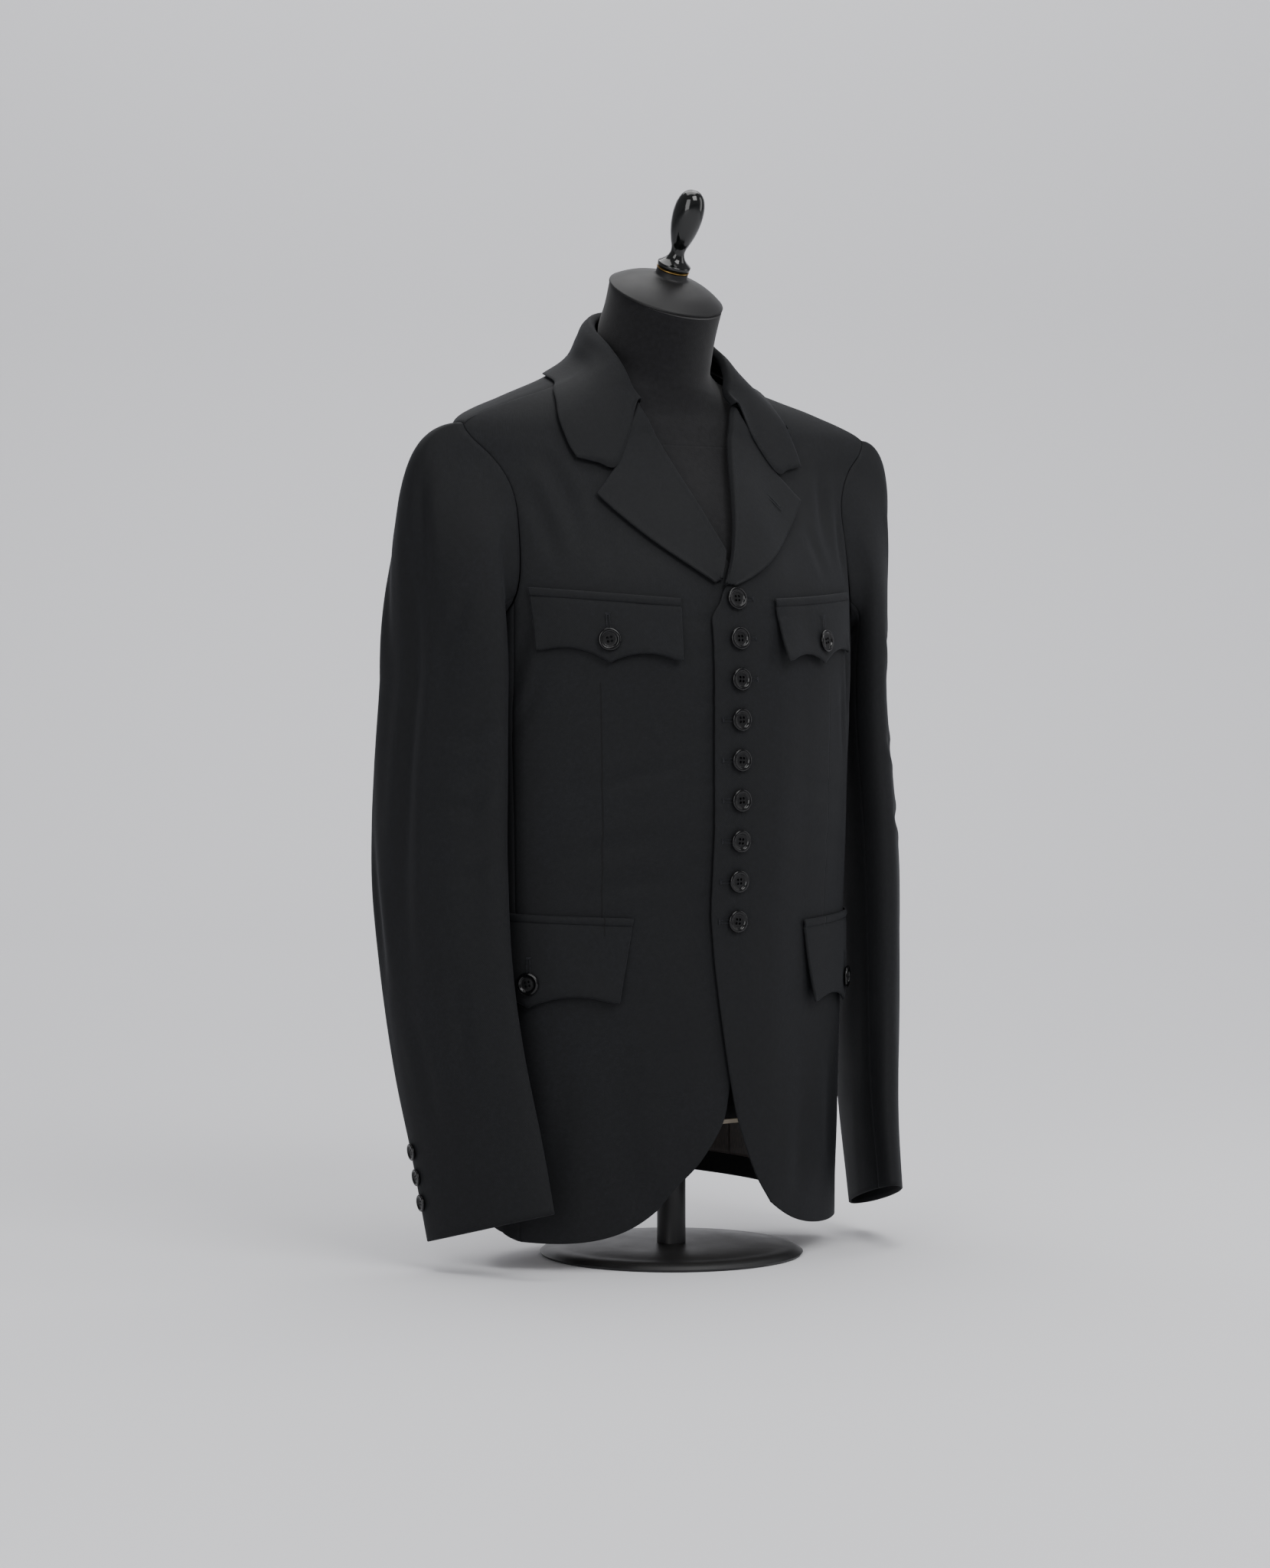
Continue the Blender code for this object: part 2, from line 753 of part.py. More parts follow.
COLLAR_TIP_X = 0.1170
COLLAR_TIP = 0.6905
LAPEL_TIP_X = 0.1055
LAPEL_TIP = 0.6590

# The collar's end at the gorge: from the foot round the fold, in metres from the fold's top
COLLAR_END_COLUMNS = ("x", "height", "out")
COLLAR_END = (
    (0.0044, 0.0050, 0.0016),
    (0.0016, 0.0044, 0.0018),
    (-0.0008, 0.0060, 0.0038),
    (0.0008, 0.0068, 0.0086),
    (0.0042, 0.0046, 0.0088),
)
END_GAP = np.array([0.0004, 0.0010])

# Each lapel's outer edge, as the ends and the pull of a curve in x and height
LAPEL_EDGE_COLUMNS = ("side", "low", "bend", "first_share", "fold_start")
LAPEL_EDGES = {
    1: ((-0.0040, 0.5810), (0.0430, 0.5940), 0.00, 0.5815),
    -1: ((-0.0140, 0.5660), (0.0520, 0.5950), 0.27, 0.5870),
}
LAPEL_COLUMNS = ("across", "outside", "inside")
LAPEL_ROWS = (
    (0.000, 0.0012, -0.0008),
    (0.035, 0.0046, 0.0014),
    (0.120, 0.0048, 0.0016),
    (0.340, 0.0040, 0.0012),
    (0.620, 0.0036, 0.0010),
    (0.860, 0.0036, 0.0010),
    (1.000, 0.0042, 0.0016),
)
NOTCH_SHARE = 0.62


def lifted_point(side, x, height, out):
    """A point over a front, with the wearer's left one lifted by the lap."""
    angle = math.copysign(angle_at(abs(x), height), x) * side
    return cloth_point(angle, height, out + (lap_lift(x) if side > 0 else 0.0))


def collar_foot(share):
    """The neckline seam, from the centre back to the top of the lapel's fold."""
    if share < NECKLINE_SHARE:
        return np.array([180.0 - 90.0 * share / NECKLINE_SHARE, NECK_POINT + 0.0020])
    up = 1.0 - 0.08 * (share - NECKLINE_SHARE) / (1 - NECKLINE_SHARE)
    angle, height = front_edge(up, 1)
    return np.array([angle - 2.5, height + 0.0020])


def collar_end(side):
    fold = np.array([roll_x(GORGE_TOP), GORGE_TOP])
    notch = np.array([NOTCH_X, NOTCH])
    tip = np.array([COLLAR_TIP_X, COLLAR_TIP])
    points = [lifted_point(side, fold[0] + x, fold[1] + up, out) for x, up, out in COLLAR_END]
    for place, out in ((fold + (notch - fold) * 0.5 + END_GAP, 0.0050), (notch + END_GAP, 0.0040),
                       ((notch + tip) / 2, 0.0040), (tip, 0.0042)):
        points.append(lifted_point(side, *place, out))
    return points


def collar_section(share, side):
    """From the foot up the stand, over the fold and down the fall to the outer edge."""
    if share > 0.999:
        return collar_end(side)
    mirror = np.array([side, 1, 1])
    foot_at = collar_foot(share)
    edges = smooth_columns(COLLAR_EDGE, share)
    edge_at = np.array(edges[:2] if side > 0 else edges[2:])

    def lift(x):
        return lap_lift(x) if side > 0 and share > NECKLINE_SHARE else 0.0

    def fall(along, out):
        place = foot_at + (edge_at - foot_at) * along
        return cloth_point(*place, out + lift(abs(body_point(*place)[0]))) * mirror

    foot = fall(0.0, 0.0012)
    fold = smooth_columns(COLLAR_FOLD, share)
    fold = (fold + body_normal(*foot_at) * lift(fold[0])) * mirror

    middle = fall(0.22, FALL_CLEARANCE)
    edge = fall(1.0, COLLAR_REST)
    away = body_normal(*foot_at) * mirror
    away[2] = 0.0
    away = away / np.linalg.norm(away) * FOLD_RADIUS
    top = fold + np.array([0.0, 0.0, FOLD_RADIUS * 0.7])
    stand = (foot + fold) / 2
    return [foot, stand, fold - away, top, fold + away, (fold + middle) / 2 + away * 0.7,
            middle, fall(0.60, COLLAR_REST + 0.0008), edge]


def make_collar(cloth):
    back = [NECKLINE_SHARE * k / NECK_SEGMENTS for k in range(NECK_SEGMENTS)]
    shares = back + [NECKLINE_SHARE + (1 - NECKLINE_SHARE) * k / 5 for k in range(6)]
    left = [collar_section(share, 1) for share in shares]
    right = [collar_section(share, -1) for share in shares[:0:-1]]
    thick_sheet("collar", right + left, COLLAR_WALL, cloth)


def lapel_edge(side, share):
    low, bend = (np.array(p) for p in LAPEL_EDGES[side][:2])
    tip = np.array([LAPEL_TIP_X, LAPEL_TIP])
    return (1 - share) ** 2 * low + 2 * share * (1 - share) * bend + share**2 * tip


def gorge_bend(across):
    """How far the lapel's top edge leaves a straight line to pass through the notch."""
    fold = np.array([roll_x(GORGE_TOP), GORGE_TOP])
    notch = np.array([NOTCH_X, NOTCH])
    tip = np.array([LAPEL_TIP_X, LAPEL_TIP])
    if across < NOTCH_SHARE:
        bent = fold + (notch - fold) * across / NOTCH_SHARE
    else:
        bent = notch + (tip - notch) * (across - NOTCH_SHARE) / (1 - NOTCH_SHARE)
    return bent - (fold + (tip - fold) * across)


def make_lapel(side, word, cloth):
    """The turned-back top of a front; the right one stops at the left one's fold."""
    rows = 11
    start, fold_start = LAPEL_EDGES[side][2:]
    outer = []
    inner = []
    for i in range(rows):
        share = i / (rows - 1)
        height = fold_start + (GORGE_TOP - fold_start) * share
        fold_x = roll_x(height)
        if side < 0:
            fold_x = max(fold_x, 0.0040 - fold_x)
        fold = np.array([fold_x, height])
        edge = lapel_edge(side, start + (1 - start) * share)
        outer_row = []
        inner_row = []
        flat = min((fold_x - roll_x(height)) / UNDER_FOLD, 1.0)
        for across, up, down in LAPEL_ROWS:
            x, at = fold + (edge - fold) * across + gorge_bend(across) * share**5
            if across == 0.0:
                up, down = up + 0.0020 * flat, down + 0.0024 * flat
            outer_row.append(lifted_point(side, x, at, up))
            inner_row.append(lifted_point(side, x, at, down))
        outer.append(outer_row)
        inner.append(inner_row)
    wall(f"lapel_{word}", outer, inner, cloth)


# Pockets

POCKET_COLUMNS = (
    "name", "side", "from_front", "width", "top", "outer_rise", "strip", "flap", "taper",
    "scallop", "point", "stand_off")
POCKETS = (
    ("chest", 1, 0.0375, 0.1275, 0.5690, 0.0090, 0.0070, 0.0480, 0.0030, 0.0085, 0.0040, 0.0075),
    ("chest", -1, 0.0560, 0.1275, 0.5690, 0.0090, 0.0070, 0.0480, 0.0030, 0.0085, 0.0040, 0.0030),
    ("lower", 1, 0.0790, 0.1720, 0.2930, 0.0060, 0.0062, 0.0665, 0.0080, 0.0090, 0.0055, 0.0045),
    ("lower", -1, 0.0975, 0.1720, 0.2995, 0.0060, 0.0062, 0.0665, 0.0080, 0.0090, 0.0055, 0.0030),
)
FLAP_REST = 0.0012
STRIP_REST = {"chest": 0.0005, "lower": 0.0012}
FLAP_FLARE = 0.0016
STRIP_LIFT = 0.0036
BUTTON_ABOVE_POINT = 0.0150


def flap_point(pocket, across, down, out):
    """A point over a pocket: across runs 0 to 1 away from the front, down is in metres."""
    _, side, start, width, top, rise, _, _, taper, _, _, _ = pocket
    height = top + rise * across - down
    inset = taper * down / 0.05
    distance = start + inset + (width - 2 * inset) * across
    angle = angle_along(distance, height) * side
    x = abs(body_point(angle, height)[0])
    lift = lap_lift(x) if side > 0 else 0.0
    return cloth_point(angle, height, out + lift)


def flap_depth(pocket, across):
    """The lower edge: two hollow scallops between rounded corners and a middle point."""
    strip, flap = pocket[6:8]
    scallop, point = pocket[9:11]
    off = abs(2 * across - 1)
    hollow = scallop * math.sin(math.pi * off) ** 0.8
    corner = 0.002 * max(off - 0.90, 0) / 0.10
    return strip + flap - hollow + point * (1 - off) - corner


def flap_flare(pocket, across, share):
    """How far the flap stands off the panel; its corner nearest the front stands off most."""
    return (FLAP_FLARE + pocket[11] * (1 - across) ** 2) * share**2


def make_pocket(pocket, cloth):
    name, side = pocket[:2]
    word = "left" if side > 0 else "right"
    strip = pocket[6]
    columns = 13
    strip_outer, strip_inner, outer, inner = [], [], [], []
    for j in range(columns):
        across = j / (columns - 1)
        strip_outer.append([flap_point(pocket, across, d, STRIP_LIFT) for d in (0.0, strip)])
        strip_inner.append([flap_point(pocket, across, d, STRIP_REST[name]) for d in (0.0, strip)])
        low = flap_depth(pocket, across)
        outer_row, inner_row = [], []
        for share in (0.0, 0.30, 0.60, 0.85, 1.0):
            down = strip + SEAM_GAP + (low - strip - SEAM_GAP) * share
            rest = FLAP_REST + flap_flare(pocket, across, share)
            outer_row.append(flap_point(pocket, across, down, rest + DOUBLE_WALL))
            inner_row.append(flap_point(pocket, across, down, rest))
        outer.append(outer_row)
        inner.append(inner_row)
    wall(f"{name}_pocket_strip_{word}", strip_outer, strip_inner, cloth)
    wall(f"{name}_flap_{word}", outer, inner, cloth)


# Buttons

def button_profile(radius):
    thick = BUTTON_THICKNESS * radius / BUTTON_RADIUS
    return ((0.0, 0.62 * thick), (0.66 * radius, 0.62 * thick), (0.84 * radius, thick),
            (radius, 0.62 * thick), (0.80 * radius, 0.0), (0.0, 0.0))


def make_button(name, radius, place, axis, horn):
    turned(name, button_profile(radius), horn, place, axis, 12)


def make_buttons(horn):
    for k in range(FRONT_BUTTONS):
        height = TOP_BUTTON - BUTTON_SPACING * k
        angle = angle_at(BUTTON_LINE, height)
        place = cloth_point(angle, height, LAP_LIFT + 0.0006)
        make_button(f"front_button_{k + 1}", BUTTON_RADIUS, place, body_normal(angle, height), horn)
    for pocket in POCKETS:
        name, side = pocket[:2]
        word = "left" if side > 0 else "right"
        down = pocket[6] + pocket[7] - BUTTON_ABOVE_POINT
        out = FLAP_REST + DOUBLE_WALL + flap_flare(pocket, 0.5, 0.80) + 0.0008
        place = flap_point(pocket, 0.5, down, out)
        above = flap_point(pocket, 0.5, down, out + 0.01)
        make_button(f"{name}_flap_button_{word}", BUTTON_RADIUS, place, above - place, horn)
    for side, word in ((1, "left"), (-1, "right")):
        for k in range(CUFF_BUTTONS):
            place, axis = sleeve_spot(CUFF_BUTTON_AROUND, CUFF_BUTTON_LOW + CUFF_BUTTON_SPACING * k)
            make_button(f"cuff_button_{word}_{k + 1}", CUFF_BUTTON_RADIUS,
                        swung(place + axis * 0.0006, side), axis * np.array([side, 1, 1]), horn)


CUFF_BUTTONS = 3
CUFF_BUTTON_AROUND = 152.0
CUFF_BUTTON_LOW = 0.0700
CUFF_BUTTON_SPACING = 0.0202


def sleeve_spot(around, height):
    """A point on the left sleeve's outside and the direction that it faces."""
    along = 1.0 + (HEAD_END - height) / (HEAD_END - SLEEVE_ROWS[-1][0])
    return sleeve_surface(around, along)


# Lining, where the open cutaway shows it

LINING_WALL = 0.0010
LINING_GAP = 0.0007
LINING_ABOVE_HEM = 0.019
LINING_TOP = 0.165
LINING_SEAM = 137.0


def make_lining(name, first, last, columns, silk):
    outer, inner = [], []
    for i in range(5):
        outer_row, inner_row = [], []
        for j in range(columns):
            angle = first + (last - first) * j / (columns - 1)
            low = hem_height((angle + 180) % 360 - 180) + LINING_ABOVE_HEM
            height = low + (LINING_TOP - low) * i / 4
            outer_row.append(cloth_point(angle, height, -WALL - LINING_GAP))
            inner_row.append(cloth_point(angle, height, -WALL - LINING_GAP - LINING_WALL))
        outer.append(outer_row)
        inner.append(inner_row)
    wall(name, outer, inner, silk)


def make_linings(silk):
    gap = 0.12
    make_lining("lining_back", LINING_SEAM + gap, 360 - LINING_SEAM - gap, 15, silk)
    make_lining("lining_side_left", FRONT_SEAM_ANGLE - 8, LINING_SEAM - gap, 9, silk)
    make_lining("lining_side_right", 360 - LINING_SEAM + gap, 368 - FRONT_SEAM_ANGLE, 9, silk)


# Dress form

BOARD_THICKNESS = 0.0040
FORM_HEIGHTS = (
    0.128, 0.165, 0.230, 0.300, 0.370, 0.440, 0.510, 0.560, 0.595, 0.630, 0.662,
    0.686, 0.702, 0.715, 0.728, 0.742, 0.754, 0.763, 0.769)


def form_ring(height, sides, inset=0.0, level=None):
    """A ring of the form's skin: the jacket's inside less the ease."""
    ease = float(smooth_columns(EASE_ROWS, height)[0])
    ring = []
    for k in range(sides):
        angle = -180.0 + 360.0 * k / sides
        point = body_point(angle, height) - body_normal(angle, height) * (WALL + ease + inset)
        if level is not None:
            point[2] = level
        ring.append(point)
    return ring


def neck_ring(row, sides):
    height, centre_y, radius = row
    ring = []
    for k in range(sides):
        a = math.radians(-180.0 + 360.0 * k / sides)
        y = -math.cos(a) * radius
        ring.append(np.array([math.sin(a) * radius, centre_y + y, height + y * math.tan(NECK_LEAN)]))
    return ring


def make_form(jersey, board, lacquer, satin, brass, steel):
    sides = 32
    rings = [form_ring(FORM_BOTTOM, sides, 0.003, FORM_BOTTOM)]
    rings += [form_ring(height, sides) for height in FORM_HEIGHTS]
    rings += [neck_ring(row, sides) for row in NECK_ROWS]
    closed_loft("form_torso", rings, jersey)
    board_top = FORM_BOTTOM - SEAM_GAP
    board_low = board_top - BOARD_THICKNESS
    closed_loft("form_bottom_board", [form_ring(FORM_BOTTOM, sides, 0.004, board_low),
                                      form_ring(FORM_BOTTOM, sides, 0.002, board_top)], board)

    lean = np.array([0.0, -math.sin(NECK_LEAN), math.cos(NECK_LEAN)])
    top_height, top_y, _ = NECK_ROWS[-1]
    neck_top = np.array([0.0, top_y, top_height])
    cap_foot = neck_top + lean * SEAM_GAP
    turned("neck_cap", CAP_PROFILE, satin, cap_foot, lean, 32)
    ring_foot = cap_foot + lean * (CAP_HEIGHT + SEAM_GAP)
    turned("finial_ring", ((0.0, RING_THICKNESS), (0.0138, RING_THICKNESS), (0.0146, 0.0006),
                           (0.0138, 0.0), (0.0, 0.0)), brass, ring_foot, lean, 20)
    finial_foot = ring_foot + lean * (RING_THICKNESS + SEAM_GAP)
    turned("finial", [(radius, share * FINIAL_HEIGHT) for radius, share in FINIAL_PROFILE],
           lacquer, finial_foot, lean, 20)

    turned("foot_plate", (
        (0.0, PLATE_HEIGHT), (PLATE_RADIUS * 0.82, PLATE_HEIGHT * 0.86),
        (PLATE_RADIUS * 0.97, PLATE_HEIGHT * 0.55), (PLATE_RADIUS, PLATE_HEIGHT * 0.25),
        (PLATE_RADIUS * 0.985, 0.0), (0.0, 0.0)), steel, (0, 0, 0), (0, 0, 1), 40)
    turned("pole", (
        (0.0, board_low - SEAM_GAP), (POLE_RADIUS, board_low - SEAM_GAP),
        (POLE_RADIUS, PLATE_HEIGHT + SEAM_GAP), (0.0, PLATE_HEIGHT + SEAM_GAP)),
        steel, (0, 0, 0), (0, 0, 1), 20)


# The cap on the neck, from its collar for the knob to its rim: radius, height
CAP_PROFILE = (
    (0.0, CAP_HEIGHT), (0.0140, CAP_HEIGHT), (0.0140, 0.0190), (0.0165, 0.0172),
    (0.0270, 0.0142), (0.0380, 0.0100), (0.0465, 0.0052), (CAP_RADIUS, 0.0016),
    (CAP_RADIUS, 0.0005), (CAP_RADIUS - 0.0015, 0.0), (0.0, 0.0))

# The knob, from its tip to its flared foot: radius, share of its height
FINIAL_PROFILE = (
    (0.0, 1.000), (0.0052, 0.983), (0.0094, 0.930), (0.0121, 0.840), (0.0133, 0.720),
    (0.0130, 0.600), (0.0113, 0.460), (0.0087, 0.340), (0.0066, 0.255), (0.0062, 0.205),
    (0.0078, 0.140), (0.0118, 0.085), (0.0144, 0.060), (0.0144, 0.012), (0.0138, 0.0),
    (0.0, 0.0))


def main():
    cloth = finish("black_wool_gabardine", "#17181B", 0.85)
    silk = finish("brown_black_lining", "#2A2624", 0.55)
    horn = finish("black_horn", "#101012", 0.22)
    jersey = finish("black_cotton_jersey", "#141417", 0.90)
    board = finish("pale_board", "#B9AE9C", 0.70)
    satin = finish("black_satin_lacquer", "#141414", 0.42)
    lacquer = finish("black_gloss_lacquer", "#0A0C0B", 0.12)
    brass = finish("brass", "#9A7B45", 0.35, 1.0)
    steel = finish("black_painted_steel", "#1A1A1B", 0.45)
    make_body(cloth)
    make_sleeves(cloth)
    make_collar(cloth)
    for side, word in ((1, "left"), (-1, "right")):
        make_lapel(side, word, cloth)
    for pocket in POCKETS:
        make_pocket(pocket, cloth)
    make_buttons(horn)
    make_linings(silk)
    make_form(jersey, board, lacquer, satin, brass, steel)


clear_scene()
JACKET = bpy.data.collections.new("buttoned_jacket_on_form")
bpy.context.scene.collection.children.link(JACKET)
main()
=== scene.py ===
# %% [markdown]
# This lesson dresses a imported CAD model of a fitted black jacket, worn by a limbless
# dress form. The CAD model is the fixed frame. Each piece of cloth is made again here as a
# thin shell with soft creases, and the hard pieces get finer shapes and their finishes.

# %% Load the frame
import json
import math

import bmesh
import bpy
import numpy as np
from mathutils import Matrix, Vector

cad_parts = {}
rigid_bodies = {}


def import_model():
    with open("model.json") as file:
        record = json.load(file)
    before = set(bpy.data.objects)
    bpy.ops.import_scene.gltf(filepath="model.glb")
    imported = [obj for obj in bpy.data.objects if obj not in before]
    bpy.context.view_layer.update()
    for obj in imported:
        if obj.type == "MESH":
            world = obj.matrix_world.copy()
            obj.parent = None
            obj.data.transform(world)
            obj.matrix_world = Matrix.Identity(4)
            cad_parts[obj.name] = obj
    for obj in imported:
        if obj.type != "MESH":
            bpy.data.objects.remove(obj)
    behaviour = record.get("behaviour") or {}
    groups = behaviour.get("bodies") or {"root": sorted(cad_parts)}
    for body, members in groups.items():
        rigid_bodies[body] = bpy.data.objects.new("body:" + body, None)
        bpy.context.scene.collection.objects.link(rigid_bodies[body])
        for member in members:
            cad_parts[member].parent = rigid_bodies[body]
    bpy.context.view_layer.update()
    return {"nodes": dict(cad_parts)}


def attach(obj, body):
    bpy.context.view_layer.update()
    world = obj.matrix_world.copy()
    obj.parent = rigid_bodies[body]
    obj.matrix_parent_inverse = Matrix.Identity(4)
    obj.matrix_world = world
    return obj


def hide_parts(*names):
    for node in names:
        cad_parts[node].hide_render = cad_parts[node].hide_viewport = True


for thing in list(bpy.data.objects):
    bpy.data.objects.remove(thing, do_unlink=True)
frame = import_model()
print("CAD nodes:", len(frame["nodes"]))

# %% [markdown]
# A jacket hangs from the shoulders and is shaped by the chest, so one table of sections
# gives the whole body: a row for each height, with the half width, the depths to the front
# and the back and the squareness of each curve. These are the same values that the solids
# were made from, so every piece lands in its own solid's place.

# %% Sizes of the jacket's body
WALL = 0.0016
LAP = 0.028
LAP_LIFT = 0.0034
LAP_FADE_START = 0.034
LAP_FADE_END = 0.080
HEM_FRONT = 0.0225
HEM_SIDE = 0.042
HEM_BACK = 0.068
CUT_START = 0.300
BREAK = 0.572
NOTCH = 0.6835
ROLL_TOP = 0.7465
GORGE_TOP = 0.7444
SHOULDER_TIP = 0.7165
FRONT_SEAM_TOP = 0.562
BACK_SEAM_TOP = 0.572
SEAM_SHARE = 0.66
NECK_POINT = 0.7655
FRONT_ROUNDING = 0.14
UNDER_FOLD = 0.0035

# Columns: height, centre y, half width, front, back, front power, back power, tilt
BODY_ROWS = (
    (0.020, 0.002, 0.1730, 0.0940, 0.112, 1.60, 2.30, 0.00),
    (0.117, 0.002, 0.1735, 0.0955, 0.112, 1.60, 2.30, 0.00),
    (0.220, 0.001, 0.1770, 0.0985, 0.108, 1.60, 2.30, 0.00),
    (0.310, 0.000, 0.1795, 0.1000, 0.103, 1.60, 2.25, 0.00),
    (0.390, 0.000, 0.1815, 0.1050, 0.101, 1.62, 2.20, 0.00),
    (0.470, 0.000, 0.1840, 0.1050, 0.108, 1.62, 2.30, 0.00),
    (0.545, 0.000, 0.1865, 0.1015, 0.117, 1.60, 2.40, 0.00),
    (0.585, 0.000, 0.1890, 0.0940, 0.120, 1.55, 2.50, 0.02),
    (0.625, 0.000, 0.1930, 0.0770, 0.122, 1.42, 2.50, 0.05),
    (0.665, 0.000, 0.1990, 0.0560, 0.118, 1.30, 2.40, 0.08),
    (0.690, 0.001, 0.2070, 0.0430, 0.109, 1.25, 2.30, 0.12),
    (0.705, 0.002, 0.2125, 0.0360, 0.099, 1.25, 2.15, 0.16),
    (0.7175, 0.004, 0.2080, 0.0330, 0.090, 1.28, 2.00, 0.20),
    (0.735, 0.008, 0.1640, 0.0330, 0.076, 1.34, 1.95, 0.28),
    (0.750, 0.014, 0.1170, 0.0370, 0.069, 1.45, 1.95, 0.35),
    (0.762, 0.021, 0.0810, 0.0450, 0.065, 1.70, 2.00, 0.40),
    (0.770, 0.026, 0.0660, 0.0510, 0.062, 1.90, 2.00, 0.42),
)


# %% Smooth curves through a table
def hermite(t, width, low, low_slope, high, high_slope):
    """Values between two ends with their slopes, for t from 0 to 1."""
    return ((2 * t**3 - 3 * t**2 + 1) * low + (t**3 - 2 * t**2 + t) * width * low_slope
            + (3 * t**2 - 2 * t**3) * high + (t**3 - t**2) * width * high_slope)


def table_at(rows, at):
    """The other columns of a table at values of its first one, as smooth curves."""
    table = np.array(rows, float)
    keys = table[:, 0]
    at = np.clip(np.asarray(at, float), keys[0], keys[-1])
    after = np.clip(np.searchsorted(keys, at), 1, len(keys) - 1)
    before = after - 1
    steps = np.diff(keys)
    slopes = np.diff(table[:, 1:], axis=0) / steps[:, None]
    inner = slopes[:-1] * steps[1:, None] + slopes[1:] * steps[:-1, None]
    inner /= (steps[1:] + steps[:-1])[:, None]
    inner[slopes[:-1] * slopes[1:] <= 0] = 0
    tangents = np.vstack([slopes[:1], inner, slopes[-1:]])
    width = steps[before][..., None]
    t = (at - keys[before])[..., None] / width
    return hermite(t, width, table[before, 1:], tangents[before],
                   table[after, 1:], tangents[after])


def closed_curve(rows, at):
    """Points on a smooth closed curve through the rows; at runs from 0 to 1."""
    table = np.array(rows, float)
    count = len(table)
    place = (np.asarray(at, float) % 1.0) * count
    first = np.floor(place).astype(int) % count
    t = (place - np.floor(place))[..., None]
    a, b, c, d = (table[(first + k) % count] for k in (-1, 0, 1, 2))
    return 0.5 * (2 * b + (c - a) * t + (2 * a - 5 * b + 4 * c - d) * t**2
                  + (3 * b - a - 3 * c + d) * t**3)


def soft_step(low, high, value):
    t = np.clip((np.asarray(value, float) - low) / (high - low), 0.0, 1.0)
    return t * t * (3 - 2 * t)


def unit(vectors):
    return vectors / np.maximum(np.linalg.norm(vectors, axis=-1, keepdims=True), 1e-12)


# %% Points on the body
def body_point(angle, height):
    """Points on the jacket's outside. Angle 0 is the centre front, 90 the wearer's left."""
    angle, height = np.broadcast_arrays(np.asarray(angle, float), np.asarray(height, float))
    angle = (angle + 180.0) % 360.0 - 180.0
    columns = np.moveaxis(table_at(BODY_ROWS, height), -1, 0)
    centre_y, half_width, front, back, front_power, back_power, tilt = columns
    turn = np.radians(np.abs(angle))
    across = np.sin(turn)
    along = np.abs(np.cos(turn))
    span = math.sqrt(1 + FRONT_ROUNDING**2) - FRONT_ROUNDING
    ahead = np.sqrt((across ** (2 / front_power) * span + FRONT_ROUNDING) ** 2
                    - FRONT_ROUNDING**2)
    is_front = turn <= math.pi / 2
    reach = np.where(is_front, ahead, across ** (2 / back_power))
    y = np.where(is_front, -front * along ** (2 / front_power), back * along ** (2 / back_power))
    x = np.copysign(half_width * reach, angle)
    return np.stack([x, centre_y + y, height + tilt * y], axis=-1)


def body_normal(angle, height):
    angle = np.asarray(angle, float)
    height = np.asarray(height, float)
    around = body_point(angle + 1.0, height) - body_point(angle - 1.0, height)
    rise = body_point(angle, height + 0.002) - body_point(angle, height - 0.002)
    return unit(np.cross(around, rise))


def cloth_point(angle, height, out=0.0):
    """Points of the jacket's outside, moved out along the surface's normal."""
    out = np.asarray(out, float)[..., None]
    return body_point(angle, height) + out * body_normal(angle, height)


def angle_at(distance_x, height):
    """The angle of the front point that lies this far to the side of the centre line."""
    distance_x, height = np.broadcast_arrays(
        np.asarray(distance_x, float), np.asarray(height, float))
    low = np.zeros(distance_x.shape)
    high = np.full(distance_x.shape, 90.0)
    for _ in range(30):
        middle = (low + high) / 2
        under = body_point(middle, height)[..., 0] < np.abs(distance_x)
        low = np.where(under, middle, low)
        high = np.where(under, high, middle)
    return np.copysign(low, distance_x)


def back_angle(x, height):
    """The angle of the back point that lies this far to the side of the centre line."""
    low = np.full(np.shape(x), 90.0)
    high = np.full(np.shape(x), 180.0)
    for _ in range(30):
        middle = (low + high) / 2
        wide = body_point(middle, height)[..., 0] > x
        low = np.where(wide, middle, low)
        high = np.where(wide, high, middle)
    return low


def lap_lift(x):
    """How far the wearer's left front stands out, to lie over the right front."""
    return LAP_LIFT * (1 - soft_step(LAP_FADE_START, LAP_FADE_END, x))


print("front of the chest:", np.round(body_point(0.0, 0.47), 4))

# %% [markdown]
# Cloth is a thin shell: an outer grid of points, an inner one a wall further in, and a
# rounded rim. A Solidify modifier would do that too, but two grids let each piece keep
# its own UV map in real metres, so that the weave runs with the cloth and keeps its size.


# %% Cloth shells
def arc_lengths(sheet):
    """UV values in metres: along each row and up each column from the middle."""
    across = np.linalg.norm(np.diff(sheet, axis=1), axis=2)
    up = np.linalg.norm(np.diff(sheet, axis=0), axis=2)
    u = np.concatenate([np.zeros((len(sheet), 1)), np.cumsum(across, axis=1)], axis=1)
    v = np.concatenate([np.zeros((1, sheet.shape[1])), np.cumsum(up, axis=0)], axis=0)
    middle = sheet.shape[1] // 2
    u = u - u[:, middle:middle + 1]
    return u, np.broadcast_to(v[:, middle:middle + 1], u.shape)


def grid_normals(sheet, like=None):
    """Normals of a grid of points, turned to the side that like points to."""
    normals = unit(np.cross(np.gradient(sheet, axis=1), np.gradient(sheet, axis=0)))
    if like is not None and float((normals * like).sum(axis=2).mean()) < 0:
        normals = -normals
    return normals


